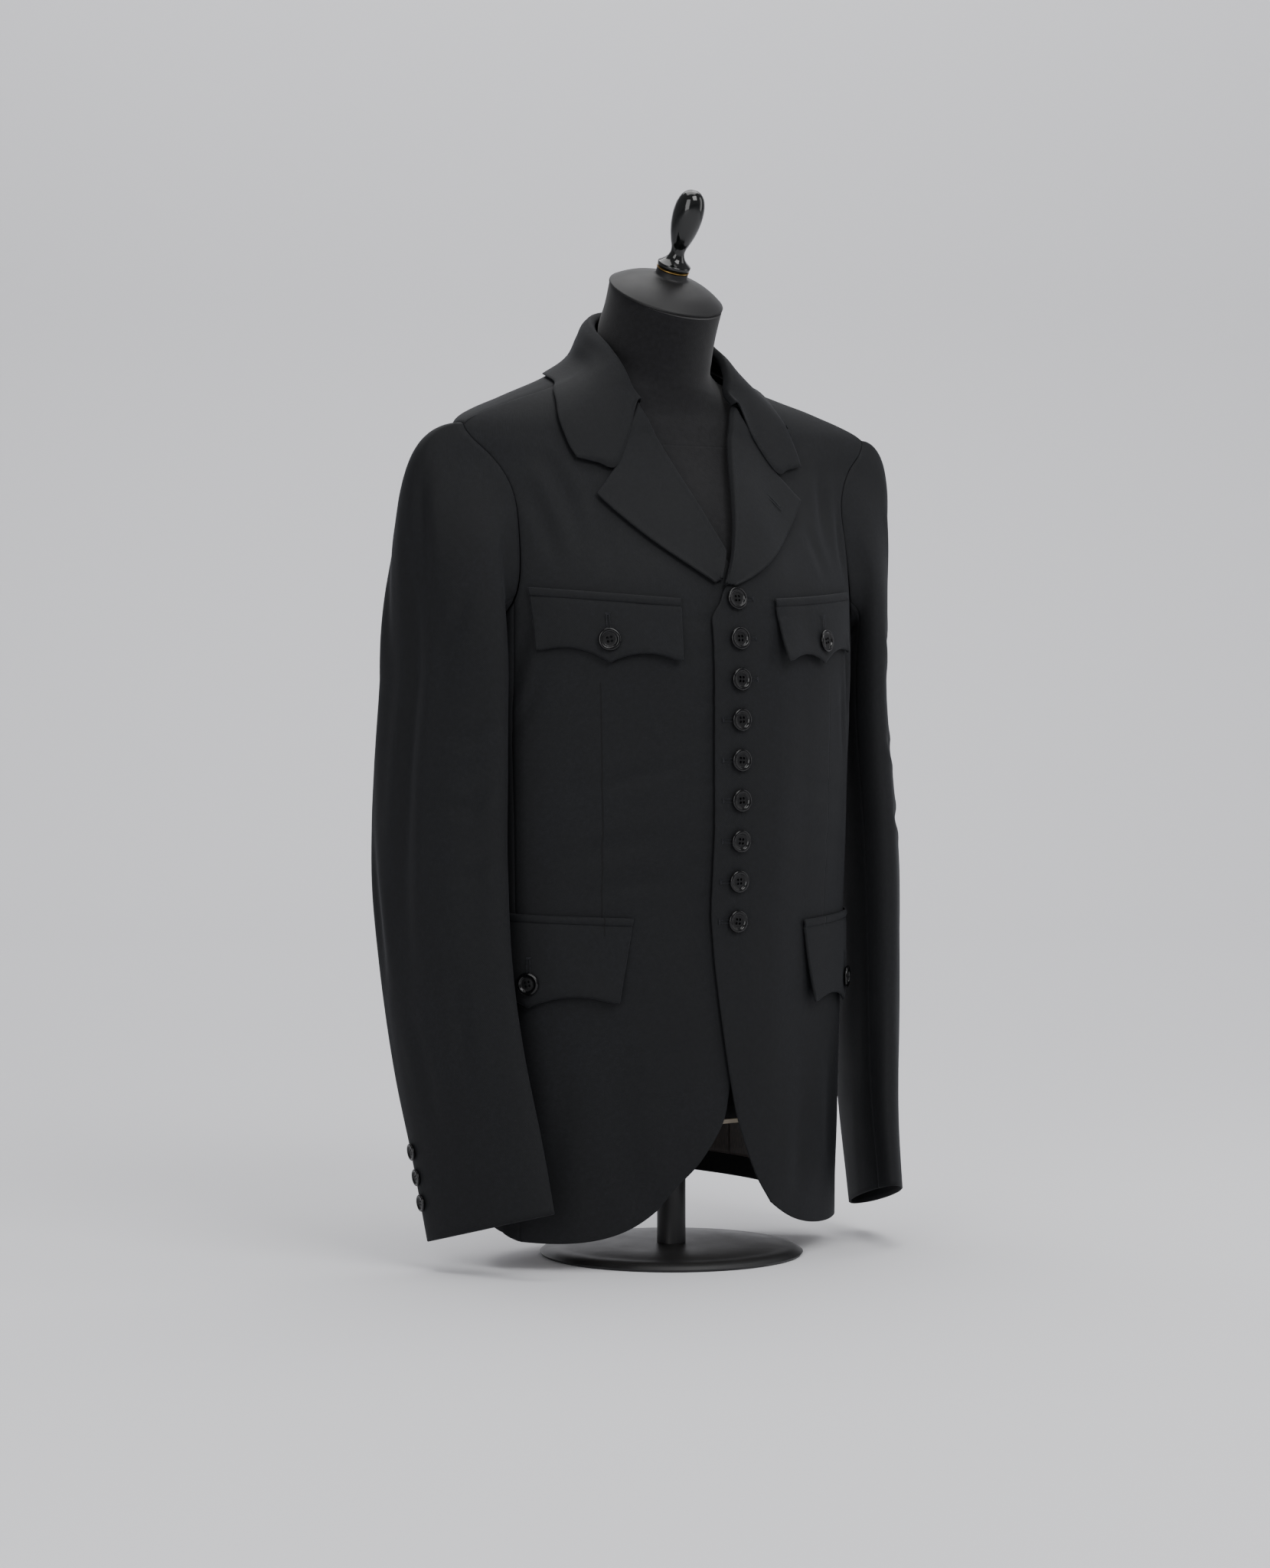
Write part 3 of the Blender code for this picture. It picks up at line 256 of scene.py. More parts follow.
def plain_mesh(name, points, faces, finish, uv=None):
    """A mesh object with its place in its mesh, smooth but for its sharp edges."""
    mesh = bpy.data.meshes.new(name)
    mesh.from_pydata([tuple(map(float, p)) for p in points], [], faces)
    if uv is not None:
        layer = mesh.uv_layers.new(name="cloth")
        corners = np.zeros(len(mesh.loops), int)
        mesh.loops.foreach_get("vertex_index", corners)
        layer.data.foreach_set("uv", np.asarray(uv, np.float32)[corners].ravel())
    mesh.materials.append(finish)
    mesh.shade_smooth()
    made = bpy.data.objects.new(name, mesh)
    bpy.context.scene.collection.objects.link(made)
    return made


def shell(name, sheet, outward, thickness, finish):
    """A closed thin piece of cloth whose outside is a grid of points."""
    rows, columns = sheet.shape[:2]
    outer = sheet.reshape(-1, 3)
    inner = (sheet - outward * thickness).reshape(-1, 3)
    rim = [(0, j) for j in range(columns)]
    rim += [(i, columns - 1) for i in range(1, rows)]
    rim += [(rows - 1, j) for j in range(columns - 2, -1, -1)]
    rim += [(i, 0) for i in range(rows - 2, 0, -1)]
    edge = np.array([i * columns + j for i, j in rim])
    inside = np.array([min(max(i, 1), rows - 2) * columns + min(max(j, 1), columns - 2)
                       for i, j in rim])
    away = unit(outer[edge] - outer[inside])
    middle = (outer[edge] + inner[edge]) / 2 + away * thickness * 0.42
    count = rows * columns
    faces = []
    for i in range(rows - 1):
        for j in range(columns - 1):
            a = i * columns + j
            faces.append((a, a + 1, a + columns + 1, a + columns))
            faces.append((count + a, count + a + columns, count + a + columns + 1, count + a + 1))
    for k in range(len(edge)):
        after = (k + 1) % len(edge)
        a, b = int(edge[k]), int(edge[after])
        faces.append((b, a, 2 * count + k, 2 * count + after))
        faces.append((2 * count + after, 2 * count + k, count + a, count + b))
    points = np.vstack([outer, inner, middle])
    face_normal = np.cross(sheet[:-1, 1:] - sheet[:-1, :-1], sheet[1:, :-1] - sheet[:-1, :-1])
    if float((face_normal * outward[:-1, :-1]).sum()) < 0:
        faces = [face[::-1] for face in faces]
    u, v = arc_lengths(sheet)
    uv = np.stack([u.ravel(), v.ravel()], axis=1)
    return plain_mesh(name, points, faces, finish, np.vstack([uv, uv, uv[edge]]))


def cut_size(sheet):
    """Width, length and area of the flat cut that a smooth sheet of points came from."""
    across = np.linalg.norm(np.diff(sheet, axis=1), axis=2).sum(axis=1).max()
    up = np.linalg.norm(np.diff(sheet, axis=0), axis=2).sum(axis=0).max()
    first = np.cross(sheet[:-1, 1:] - sheet[:-1, :-1], sheet[1:, :-1] - sheet[:-1, :-1])
    second = np.cross(sheet[1:, :-1] - sheet[1:, 1:], sheet[:-1, 1:] - sheet[1:, 1:])
    area = (np.linalg.norm(first, axis=2).sum() + np.linalg.norm(second, axis=2).sum()) / 2
    return float(across), float(up), float(area)


def declare(made, smooth, node):
    """Attaches the piece to the frame, hides the solid that it replaces and prints the flat size
    that it was cut to.
    """
    across, up, area = cut_size(smooth)
    area = min(max(area, 0.31 * across * up), across * up)
    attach(made, "root")
    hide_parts(node)
    print(made.name, "cut", [round(across, 3), round(up, 3), round(area, 4)])


# %% [markdown]
# Creases in a pressed wool jacket are soft: a trough with low shoulders, deepest near one
# end and fading out. Each is given as a short path on the cloth with its width
# and depth, so neighbours differ in length, depth and spacing. The troughs are found by
# the distance in space, so a crease runs on across a seam from one panel to the next.


# %% Creases
def along_path(points, path):
    """Distance to a path of points, and how far along it from 0 to 1 the nearest spot is."""
    best = np.full(points.shape[:-1], 1e9)
    share = np.zeros(points.shape[:-1])
    lengths = np.linalg.norm(np.diff(path, axis=0), axis=1)
    total = lengths.sum()
    walked = 0.0
    for a, b, length in zip(path[:-1], path[1:], lengths):
        t = np.clip(((points - a) @ (b - a)) / length**2, 0, 1)
        off = np.linalg.norm(points - (a + t[..., None] * (b - a)), axis=-1)
        near = off < best
        share = np.where(near, (walked + t * length) / total, share)
        best = np.where(near, off, best)
        walked += length
    return best, share


def crease_field(points, creases):
    """The height of all creases at points: troughs are below zero, ridges above."""
    field = np.zeros(points.shape[:-1])
    low = points.reshape(-1, 3).min(axis=0) - 0.04
    high = points.reshape(-1, 3).max(axis=0) + 0.04
    for path, width, depth, peak in creases:
        if (path.min(axis=0) > high).any() or (path.max(axis=0) < low).any():
            continue
        off, share = along_path(points, path)
        swell = np.where(share < peak, share / peak, (1 - share) / (1 - peak))
        swell = np.sin(np.clip(swell, 0, 1) * math.pi / 2) ** 1.3
        across = off / width
        shape = -np.exp(-across**2) + 0.42 * np.exp(-((across - 2.0) / 1.0) ** 2)
        field += depth * swell * shape
    return field


rng = np.random.default_rng(7)
WAVES = 40
WAVE_VECTORS = rng.normal(size=(WAVES, 3))
WAVE_VECTORS = unit(WAVE_VECTORS) * (2 * math.pi / rng.uniform(0.022, 0.095, size=(WAVES, 1)))
WAVE_VECTORS[:, 2] *= 0.45
WAVE_PHASES = rng.uniform(0, 2 * math.pi, WAVES)


def gentle_waves(points, size):
    """The slight unevenness of worn cloth, longer up and down than across."""
    waves = np.cos(points @ WAVE_VECTORS.T + WAVE_PHASES)
    return waves.sum(axis=-1) * size / math.sqrt(WAVES)


def body_path(steps, side=1):
    """A path on the body through rows of angle and height."""
    steps = np.array(steps, float)
    t = np.linspace(0, len(steps) - 1, 6 * (len(steps) - 1) + 1)
    angle = np.interp(t, range(len(steps)), steps[:, 0])
    height = np.interp(t, range(len(steps)), steps[:, 1])
    return body_point(angle * side, height)


# Angle and height along each crease, then its width, depth and where it is deepest
BODY_CREASES = (
    # wearer's right chest, under the lapel and beside the armhole
    (((-50, 0.700), (-47, 0.660), (-44, 0.610)), 0.0075, 0.0025, 0.35),
    (((-58, 0.668), (-55, 0.630), (-53, 0.590)), 0.0065, 0.0021, 0.45),
    (((-36, 0.650), (-37, 0.615), (-39, 0.585)), 0.0070, 0.0013, 0.50),
    # wearer's left chest
    (((52, 0.695), (50, 0.655), (46, 0.612)), 0.0070, 0.0020, 0.40),
    (((61, 0.660), (59, 0.620), (58, 0.588)), 0.0060, 0.0018, 0.55),
    (((38, 0.640), (40, 0.610), (42, 0.582)), 0.0070, 0.0011, 0.45),
    # below the armholes, running to the side seams
    (((56, 0.545), (57, 0.505), (59, 0.455)), 0.0048, 0.0030, 0.30),
    (((62, 0.565), (64, 0.520), (66, 0.462)), 0.0050, 0.0034, 0.40),
    (((50, 0.505), (52, 0.470), (55, 0.425)), 0.0050, 0.0019, 0.45),
    (((70, 0.556), (72, 0.500), (73, 0.430)), 0.0055, 0.0028, 0.45),
    (((-66, 0.556), (-71, 0.510), (-76, 0.462)), 0.0060, 0.0020, 0.35),
    (((-60, 0.505), (-68, 0.474), (-78, 0.448)), 0.0055, 0.0015, 0.50),
    # drag lines across the waist, from the buttons to the sides
    (((14, 0.418), (34, 0.407), (58, 0.392)), 0.0065, 0.0009, 0.40),
    (((16, 0.366), (36, 0.362), (64, 0.352)), 0.0070, 0.0010, 0.60),
    (((-12, 0.432), (-30, 0.420), (-56, 0.402)), 0.0060, 0.0010, 0.45),
    (((-12, 0.372), (-34, 0.364), (-60, 0.345)), 0.0070, 0.0011, 0.55),
    (((-10, 0.334), (-30, 0.330), (-52, 0.318)), 0.0060, 0.0008, 0.50),
    # down the skirt
    (((30, 0.200), (31, 0.130), (29, 0.050)), 0.0120, 0.0022, 0.75),
    (((50, 0.215), (52, 0.140), (53, 0.055)), 0.0110, 0.0018, 0.70),
    (((-33, 0.205), (-34, 0.125), (-31, 0.045)), 0.0120, 0.0023, 0.80),
    (((-56, 0.210), (-57, 0.135), (-58, 0.060)), 0.0110, 0.0017, 0.70),
    (((84, 0.260), (86, 0.170), (87, 0.060)), 0.0120, 0.0024, 0.70),
    (((-86, 0.270), (-88, 0.175), (-90, 0.065)), 0.0120, 0.0022, 0.75),
    (((104, 0.240), (103, 0.150), (105, 0.070)), 0.0110, 0.0019, 0.65),
    (((-103, 0.250), (-105, 0.160), (-104, 0.075)), 0.0110, 0.0021, 0.70),
    # back: from the shoulder blades down, across the waist, and down the skirt
    (((128, 0.640), (131, 0.590), (133, 0.535)), 0.0080, 0.0021, 0.35),
    (((-127, 0.646), (-129, 0.600), (-133, 0.548)), 0.0080, 0.0019, 0.40),
    (((138, 0.690), (141, 0.650), (143, 0.600)), 0.0080, 0.0014, 0.45),
    (((-140, 0.686), (-142, 0.640), (-145, 0.596)), 0.0075, 0.0015, 0.40),
    (((122, 0.452), (140, 0.436), (162, 0.428)), 0.0065, 0.0016, 0.40),
    (((-120, 0.462), (-138, 0.444), (-158, 0.430)), 0.0065, 0.0014, 0.45),
    (((126, 0.404), (146, 0.396), (166, 0.394)), 0.0060, 0.0013, 0.50),
    (((-130, 0.398), (-148, 0.388), (-168, 0.386)), 0.0060, 0.0014, 0.55),
    (((145, 0.235), (147, 0.160), (146, 0.085)), 0.0130, 0.0024, 0.75),
    (((-148, 0.240), (-150, 0.165), (-149, 0.090)), 0.0130, 0.0022, 0.70),
    (((166, 0.220), (167, 0.150), (168, 0.085)), 0.0110, 0.0017, 0.70),
    (((-163, 0.215), (-165, 0.155), (-166, 0.088)), 0.0110, 0.0018, 0.75),
)
CREASES = [(body_path(steps), width, depth, peak) for steps, width, depth, peak in BODY_CREASES]
# Small pulls beside the buttons
for number, height in enumerate(np.arange(0.5519, 0.30, -0.0342)):
    tilt = (-1) ** number * 0.003
    CREASES.append((body_path(((5, height), (10, height + tilt), (17, height + 2 * tilt))),
                    0.0042, 0.0006, 0.3))
    CREASES.append((body_path(((-5, height + 0.002), (-11, height - tilt), (-18, height))),
                    0.0042, 0.0006, 0.3))
WAVE_SIZE = 0.00028
print("creases on the body:", len(CREASES))


def relief(points):
    """How far the worn cloth of the body lies out of its smooth form."""
    return crease_field(points, CREASES) + gentle_waves(points, WAVE_SIZE)


# %% [markdown]
# A maker cuts each half of the body as a front, a side panel under the arm and a back.
# Each is a patch of the body between four edges: the hem, the two seams and the top. A
# Coons patch fills the space between them, so only the edges have to be described.

# %% Edges of the panels
# Columns: height, left from centre, right from centre
CUTAWAY_ROWS = (
    (0.052, 0.0400, 0.0700),
    (0.069, 0.0278, 0.0555),
    (0.088, 0.0177, 0.0352),
    (0.103, 0.0115, 0.0235),
    (0.121, 0.0045, 0.0120),
    (0.160, -0.0057, 0.0034),
    (0.200, -0.0140, -0.0090),
    (0.250, -0.0225, -0.0215),
    (0.300, -0.0280, -0.0280),
)
# Columns: height, x
ROLL_ROWS = (
    (0.572, -0.0200),
    (0.580, -0.0145),
    (0.592, -0.0080),
    (0.606, -0.0008),
    (0.625, 0.0068),
    (0.669, 0.0212),
    (0.750, 0.0472),
)
# Columns: angle, height
ARMHOLE_ROWS = (
    (90.0, SHOULDER_TIP),
    (73.0, 0.6980),
    (65.0, 0.6670),
    (65.0, 0.6200),
    (70.0, 0.5700),
    (84.0, 0.5450),
    (100.0, 0.5470),
    (114.0, 0.5720),
    (122.0, 0.6150),
    (121.0, 0.6620),
    (110.0, 0.7000),
)
FRONT_SEAM_ANGLE = 75.0
BACK_SEAM_ANGLE = 114.0
SEAM_FOOT = 0.003
FRONT_SEAM_LEAN = 71.4
SEAM_DIP_WIDTH = 0.0021
SEAM_DIP_DEPTH = 0.0006
# Where the seams meet the armhole, counted in rows of its table
FRONT_SEAM_ROW = 4.15
BACK_SEAM_ROW = 7.0
NECK_SHARE = 0.32
FRONT_EDGE_STATIONS = (
    (0.000, 0.052),
    (0.046, 0.080),
    (0.115, 0.127),
    (0.322, 0.300),
    (0.690, 0.572),
    (0.92, ROLL_TOP),
    (1.00, NECK_POINT),
)


def coons(bottom, top, left, right, us, vs):
    """Fills the region between four edges, each given at the grid's own stations."""
    u = us[None, :, None]
    v = vs[:, None, None]
    low, high = bottom[None], top[None]
    near, far = left[:, None], right[:, None]
    corners = ((1 - u) * (1 - v) * left[0] + u * (1 - v) * right[0]
               + (1 - u) * v * left[-1] + u * v * right[-1])
    return (1 - v) * low + v * high + (1 - u) * near + u * far - corners


def armhole(at):
    return closed_curve(ARMHOLE_ROWS, at)


def hem_height(angle):
    """The hem rises from the fronts to the centre back."""
    angle = np.abs((np.asarray(angle, float) + 180) % 360 - 180)
    return np.interp(angle, (0, 60, 115, 180), (HEM_FRONT, HEM_FRONT, HEM_SIDE, HEM_BACK))


def roll_x(height):
    """How far from the centre line the lapel folds at a height."""
    return table_at(ROLL_ROWS, height)[..., 0]


def front_edge(up, side):
    """The front's inner edge: cutaway, straight edge, break, lapel fold and neckline."""
    keys = [row[0] for row in FRONT_EDGE_STATIONS]
    height = float(np.interp(up, keys, [row[1] for row in FRONT_EDGE_STATIONS]))
    if height < CUT_START:
        across = float(table_at(CUTAWAY_ROWS, height)[0 if side > 0 else 1])
    elif height < BREAK:
        reach = LAP + float(roll_x(BREAK)) + UNDER_FOLD
        across = -LAP + reach * float(soft_step(BREAK - 0.022, BREAK, height))
    elif height < ROLL_TOP:
        across = float(roll_x(height)) + UNDER_FOLD
    else:
        over = (height - ROLL_TOP) / (NECK_POINT - ROLL_TOP)
        start = float(angle_at(float(roll_x(ROLL_TOP)) + UNDER_FOLD, ROLL_TOP))
        return [start + (90.0 - start) * over ** 0.8, height]
    return [float(angle_at(across, height)), height]


def seam_angle(height):
    """The front seam under the arm leans a little forward at its top."""
    start = FRONT_SEAM_ANGLE
    return np.interp(height, (HEM_FRONT, 0.45, FRONT_SEAM_TOP), (start, start, FRONT_SEAM_LEAN))


# %% The three panels of a half
def front_patch(side, us, vs):
    left = np.array([front_edge(v, side) for v in vs])
    seam_height = np.interp(vs, (0.0, 0.05, 0.35, SEAM_SHARE),
                            (HEM_FRONT + SEAM_FOOT, 0.060, 0.290, FRONT_SEAM_TOP))
    on_seam = np.stack([seam_angle(seam_height), seam_height], axis=1)
    row = np.interp(vs, (SEAM_SHARE, 1.0), (FRONT_SEAM_ROW, 0.0))
    on_armhole = armhole(row / len(ARMHOLE_ROWS))
    right = np.where(vs[:, None] < SEAM_SHARE, on_seam, on_armhole)
    drop = (left[0][1] - HEM_FRONT) * (1 - us) ** 4
    bottom = np.stack([left[0][0] + (FRONT_SEAM_ANGLE - left[0][0]) * us,
                       HEM_FRONT + drop + SEAM_FOOT * us], axis=1)
    top = np.stack([np.full(len(us), 90.0),
                    NECK_POINT + (SHOULDER_TIP - NECK_POINT) * us], axis=1)
    return coons(bottom, top, left, right, us, vs)


def side_patch(side, us, vs):
    height = HEM_FRONT + SEAM_FOOT + (FRONT_SEAM_TOP - HEM_FRONT - SEAM_FOOT) * vs
    left = np.stack([seam_angle(height), height], axis=1)
    right = np.stack([np.full(len(vs), BACK_SEAM_ANGLE),
                      HEM_SIDE + (BACK_SEAM_TOP - HEM_SIDE) * vs], axis=1)
    bottom = left[0] + (right[0] - left[0]) * us[:, None]
    top = armhole(np.interp(us, (0.0, 1.0), (FRONT_SEAM_ROW, BACK_SEAM_ROW)) / len(ARMHOLE_ROWS))
    return coons(bottom, top, left, right, us, vs)


def back_patch(side, us, vs):
    def flat(angle, height):
        return np.stack([body_point(angle, height)[..., 0],
                         np.broadcast_to(height, np.shape(angle))], axis=-1)

    left = np.stack([np.zeros(len(vs)), HEM_BACK + (NECK_POINT - HEM_BACK) * vs], axis=1)
    seam = flat(np.full(len(vs), BACK_SEAM_ANGLE),
                HEM_SIDE + (BACK_SEAM_TOP - HEM_SIDE) * vs / SEAM_SHARE)
    row = np.interp(vs, (SEAM_SHARE, 1.0), (BACK_SEAM_ROW, len(ARMHOLE_ROWS)))
    hole = armhole(row / len(ARMHOLE_ROWS))
    right = np.where(vs[:, None] < SEAM_SHARE, seam, flat(hole[:, 0], hole[:, 1]))
    angle = 179.99 + (BACK_SEAM_ANGLE - 179.99) * us
    bottom = flat(angle, hem_height(angle))
    run = np.clip((us - NECK_SHARE) / (1 - NECK_SHARE), 0, 1)
    top_height = NECK_POINT + (SHOULDER_TIP - NECK_POINT) * run
    top = flat(np.full(len(us), 90.0), top_height)
    top[:, 0] *= np.clip(us / NECK_SHARE, 0, 1)
    patch = coons(bottom, top, left, right, us, vs)
    angles = back_angle(patch[..., 0], patch[..., 1])
    angles[-1] = np.where(us >= NECK_SHARE, 90.35, angles[-1])
    return np.stack([angles, patch[..., 1]], axis=-1)


# %% Panels as worn cloth
def stations(count, close=(0.0, 0.0011, 0.0026, 0.0046), length=0.2):
    """Shares from 0 to 1, evenly spaced but close together at both edges."""
    near = [step / length for step in close]
    middle = np.linspace(near[-1] * 2.2, 1 - near[-1] * 2.2, count)
    return np.concatenate([near, middle, 1 - np.array(near[::-1])])


def seam_dip(us, length, sides):
    """Each seam sits in a narrow dip, because its edges are turned and pressed inside."""
    low = np.exp(-(us * length / SEAM_DIP_WIDTH) ** 2) if sides[0] else np.zeros(len(us))
    high = np.exp(-((1 - us) * length / SEAM_DIP_WIDTH) ** 2) if sides[1] else np.zeros(len(us))
    return -SEAM_DIP_DEPTH * (low + high)


def body_panel(name, node, patch, side, counts, lengths, dips, lifted):
    us = stations(counts[0], length=lengths[0])
    vs = stations(counts[1], length=lengths[1])
    places = patch(side, us, vs)
    angle, height = side * places[..., 0], places[..., 1]
    on = body_point(angle, height)
    outward = body_normal(angle, height)
    lift = lap_lift(np.abs(on[..., 0])) if lifted else np.zeros(angle.shape)
    smooth = on + outward * lift[..., None]
    out = relief(on) + seam_dip(us, lengths[0], dips[:2])[None, :]
    out = out + seam_dip(vs, lengths[1], dips[2:])[:, None]
    sheet = smooth + outward * out[..., None]
    normals = grid_normals(sheet, outward)
    made = shell(name, sheet, normals, WALL, gabardine)
    declare(made, smooth, node)


# %% [markdown]
# The finishes come before the pieces that wear them. One function adds a node with its
# settings and its links, and one turns an sRGB colour into the linear one that shaders use.


# %% Nodes and colours
def linear(hex_colour):
    channels = [int(hex_colour[at:at + 2], 16) / 255 for at in (1, 3, 5)]
    return [((c + 0.055) / 1.055) ** 2.4 if c > 0.04045 else c / 12.92 for c in channels] + [1.0]


def node(tree, kind, settings=None, inputs=None):
    """Adds a node. A value that is a socket becomes a link, any other is set."""
    made = tree.nodes.new(kind)
    for key, value in (settings or {}).items():
        setattr(made, key, value)
    for key, value in (inputs or {}).items():
        if isinstance(value, bpy.types.NodeSocket):
            tree.links.new(value, made.inputs[key])
        else:
            made.inputs[key].default_value = value
    return made


def new_finish(name, hex_colour, roughness, **extra):
    """A material with its Principled shader, which holds the values that don't vary."""
    made = bpy.data.materials.new(name)
    made.use_nodes = True
    shader = made.node_tree.nodes["Principled BSDF"]
    shader.inputs["Base Color"].default_value = linear(hex_colour)
    shader.inputs["Roughness"].default_value = roughness
    for key, value in extra.items():
        shader.inputs[key.replace("_", " ")].default_value = value
    return made, made.node_tree, shader


def ramp(tree, source, stops):
    """A colour ramp over a value, through (place, sRGB colour) stops."""
    made = node(tree, "ShaderNodeValToRGB", inputs={"Fac": source})
    elements = made.color_ramp.elements
    while len(elements) > 1:
        elements.remove(elements[-1])
    elements[0].position, elements[0].color = stops[0][0], linear(stops[0][1])
    for place, colour in stops[1:]:
        elements.new(place).color = linear(colour)
    return made.outputs["Color"]


def noise(tree, place, scale, **more):
    return node(tree, "ShaderNodeTexNoise", inputs={
        "Vector": place, "Scale": scale, **more}).outputs["Fac"]


def between(tree, value, low, high):
    """A value from 0 to 1 stretched over another span."""
    return node(tree, "ShaderNodeMapRange", inputs={
        "Value": value, "To Min": low, "To Max": high}).outputs["Result"]


def bump(tree, strength, distance, height, **more):
    return node(tree, "ShaderNodeBump", inputs={
        "Strength": strength, "Distance": distance, "Height": height,
        **more}).outputs["Normal"]


def wire(tree, shader, **sources):
    """Links sockets to the shader's inputs of the same names."""
    for key, socket in sources.items():
        tree.links.new(socket, shader.inputs[key.replace("_", " ")])


# %% [markdown]
# The jacket is a black wool gabardine: a worsted twill, so its threads make fine slanting
# ribs, with a short nap that lightens it a little where light grazes it. The ribs are
# really 0.4 mm apart. They are drawn 1.2 mm apart and shallow, which is as fine as shows.

# %% Black wool gabardine
TWILL_SPACING = 0.0012
NAP_SIZE = 0.0035


# Each front has one long dart, a pressed seam from under the chest flap to the waist, bumped in and
# painted darker: painted shade in its groove.
DART_X = 0.1170
DART_SHIFT = 0.0030
DART_SLANT = 0.020
DART_LOW = 0.285
DART_HIGH = 0.498
DART_HALF_WIDTH = 0.0009


def dart_line(tree, place):
    """How near a spot is to a front's dart seam: 1 on it, 0 beside it."""
    def sums(operation, *values):
        made = tree.nodes.new("ShaderNodeMath")
        made.operation = operation
        for socket, value in zip(made.inputs, values):
            if isinstance(value, bpy.types.NodeSocket):
                tree.links.new(value, socket)
            else:
                socket.default_value = value
        return made.outputs[0]

    parts = node(tree, "ShaderNodeSeparateXYZ", inputs={"Vector": place}).outputs
    seam_x = sums("MULTIPLY_ADD", sums("SUBTRACT", parts["Z"], 0.40), DART_SLANT, DART_X)
    from_middle = sums("ABSOLUTE", sums("ADD", parts["X"], DART_SHIFT))
    off = sums("ABSOLUTE", sums("SUBTRACT", from_middle, seam_x))
    near = sums("MAXIMUM", sums("SUBTRACT", 1.0, sums("DIVIDE", off, DART_HALF_WIDTH)), 0.0)
    inside = sums("MULTIPLY", sums("LESS_THAN", parts["Y"], 0.0),
                  sums("MULTIPLY", sums("GREATER_THAN", parts["Z"], DART_LOW),
                       sums("LESS_THAN", parts["Z"], DART_HIGH)))
    return sums("MULTIPLY", near, inside)


def wool(name, colours, sheen, darts=False):
    made, tree, shader = new_finish(
        name, colours[1], 0.78, Sheen_Weight=sheen, Sheen_Roughness=0.42,
        Specular_IOR_Level=0.22)
    shader.inputs["Sheen Tint"].default_value = linear("#8C8F98")
    cloth = node(tree, "ShaderNodeUVMap", {"uv_map": "cloth"}).outputs["UV"]
    place = node(tree, "ShaderNodeTexCoord").outputs["Object"]
    wave_scale = 2 * math.pi / (10 * TWILL_SPACING * math.sqrt(2))
    ribs = node(tree, "ShaderNodeTexWave", {"bands_direction": "DIAGONAL"}, {
        "Vector": cloth, "Scale": wave_scale, "Distortion": 0.6, "Detail": 2.0,
        "Detail Scale": 1.5})
    nap = noise(tree, place, 1 / NAP_SIZE, Detail=5.0, Roughness=0.65)
    wear = noise(tree, place, 14.0, Detail=3.0)
    mixed = node(tree, "ShaderNodeMix", {"data_type": "FLOAT"}, {
        "Factor": 0.45, "A": nap, "B": wear})
    colour = ramp(tree, mixed.outputs["Result"], (
        (0.30, colours[0]), (0.52, colours[1]), (0.74, colours[2])))
    fine = bump(tree, 0.22, 0.0002, ribs.outputs["Fac"])
    last = bump(tree, 0.30, 0.0005, nap, Normal=fine)
    if darts:
        seam = dart_line(tree, place)
        last = node(tree, "ShaderNodeBump", {"invert": True}, {
            "Strength": 1.0, "Distance": 0.0004, "Height": seam,
            "Normal": last}).outputs["Normal"]
        # The base colour is darkened along the dart: painted shade in the seam's groove.
        shade = node(tree, "ShaderNodeMix", {"data_type": "RGBA"}, {"Factor": seam})
        tree.links.new(colour, shade.inputs[6])
        shade.inputs[7].default_value = linear("#0A0A0B")
        colour = shade.outputs[2]
    wire(tree, shader, Base_Color=colour, Roughness=between(tree, wear, 0.70, 0.88), Normal=last)
    return made


gabardine = wool("black_wool_gabardine_twill", ("#0B0C0E", "#101113", "#16171A"), 0.075, True)
thread = wool("black_cotton_buttonhole_thread", ("#141518", "#1E1F22", "#2C2D30"), 0.20)

# %% Fronts, sides and backs
for side, word in ((1, "left"), (-1, "right")):
    body_panel(f"cloth_front_{word}", f"front_{word}", front_patch, side, (48, 170),
               (0.21, 0.72), (False, True, False, True), side > 0)
    body_panel(f"cloth_side_{word}", f"side_{word}", side_patch, side, (26, 120),
               (0.09, 0.52), (True, True, False, True), False)
    body_panel(f"cloth_back_{word}", f"back_{word}", back_patch, side, (48, 160),
               (0.19, 0.68), (True, True, False, True), False)

# %% [markdown]
# Each sleeve is cut as an upper and an under piece. Its head leaves the armhole, bends
# over and joins a tube of slanted rings, which narrows and swings forward to the cuff.

# %% Sleeve sizes
# Columns: height, centre x, centre y, half thick, half wide, turn, front rise
SLEEVE_ROWS = (
    (0.038, 0.1970, -0.0190, 0.0200, 0.0650, 22.0, 0.258),
    (0.110, 0.2020, -0.0020, 0.0220, 0.0670, 21.0, 0.19),
    (0.180, 0.2095, 0.0130, 0.0252, 0.0700, 19.0, 0.12),
    (0.260, 0.2150, 0.0245, 0.0280, 0.0725, 17.0, 0.06),
    (0.340, 0.2165, 0.0320, 0.0300, 0.0755, 16.0, 0.02),
    (0.420, 0.2150, 0.0330, 0.0295, 0.0755, 15.0, 0.00),
    (0.500, 0.2122, 0.0310, 0.0280, 0.0735, 14.0, 0.00),
)
UNDER_FLATNESS = 0.70
SLEEVE_FRONT_SEAM = -42.0
SLEEVE_BACK_SEAM = 190.0
HEAD_END = 0.500
ARM_SWING = 0.014
SWING_TOP = 0.500
SWING_FULL = 0.330
CUFF_HEIGHT = SLEEVE_ROWS[0][0]
HEAD_TOP = 0.705
SLEEVE_GIRTH = 0.34
ARMHOLE_CENTRE = np.array([93.0, 0.6300])
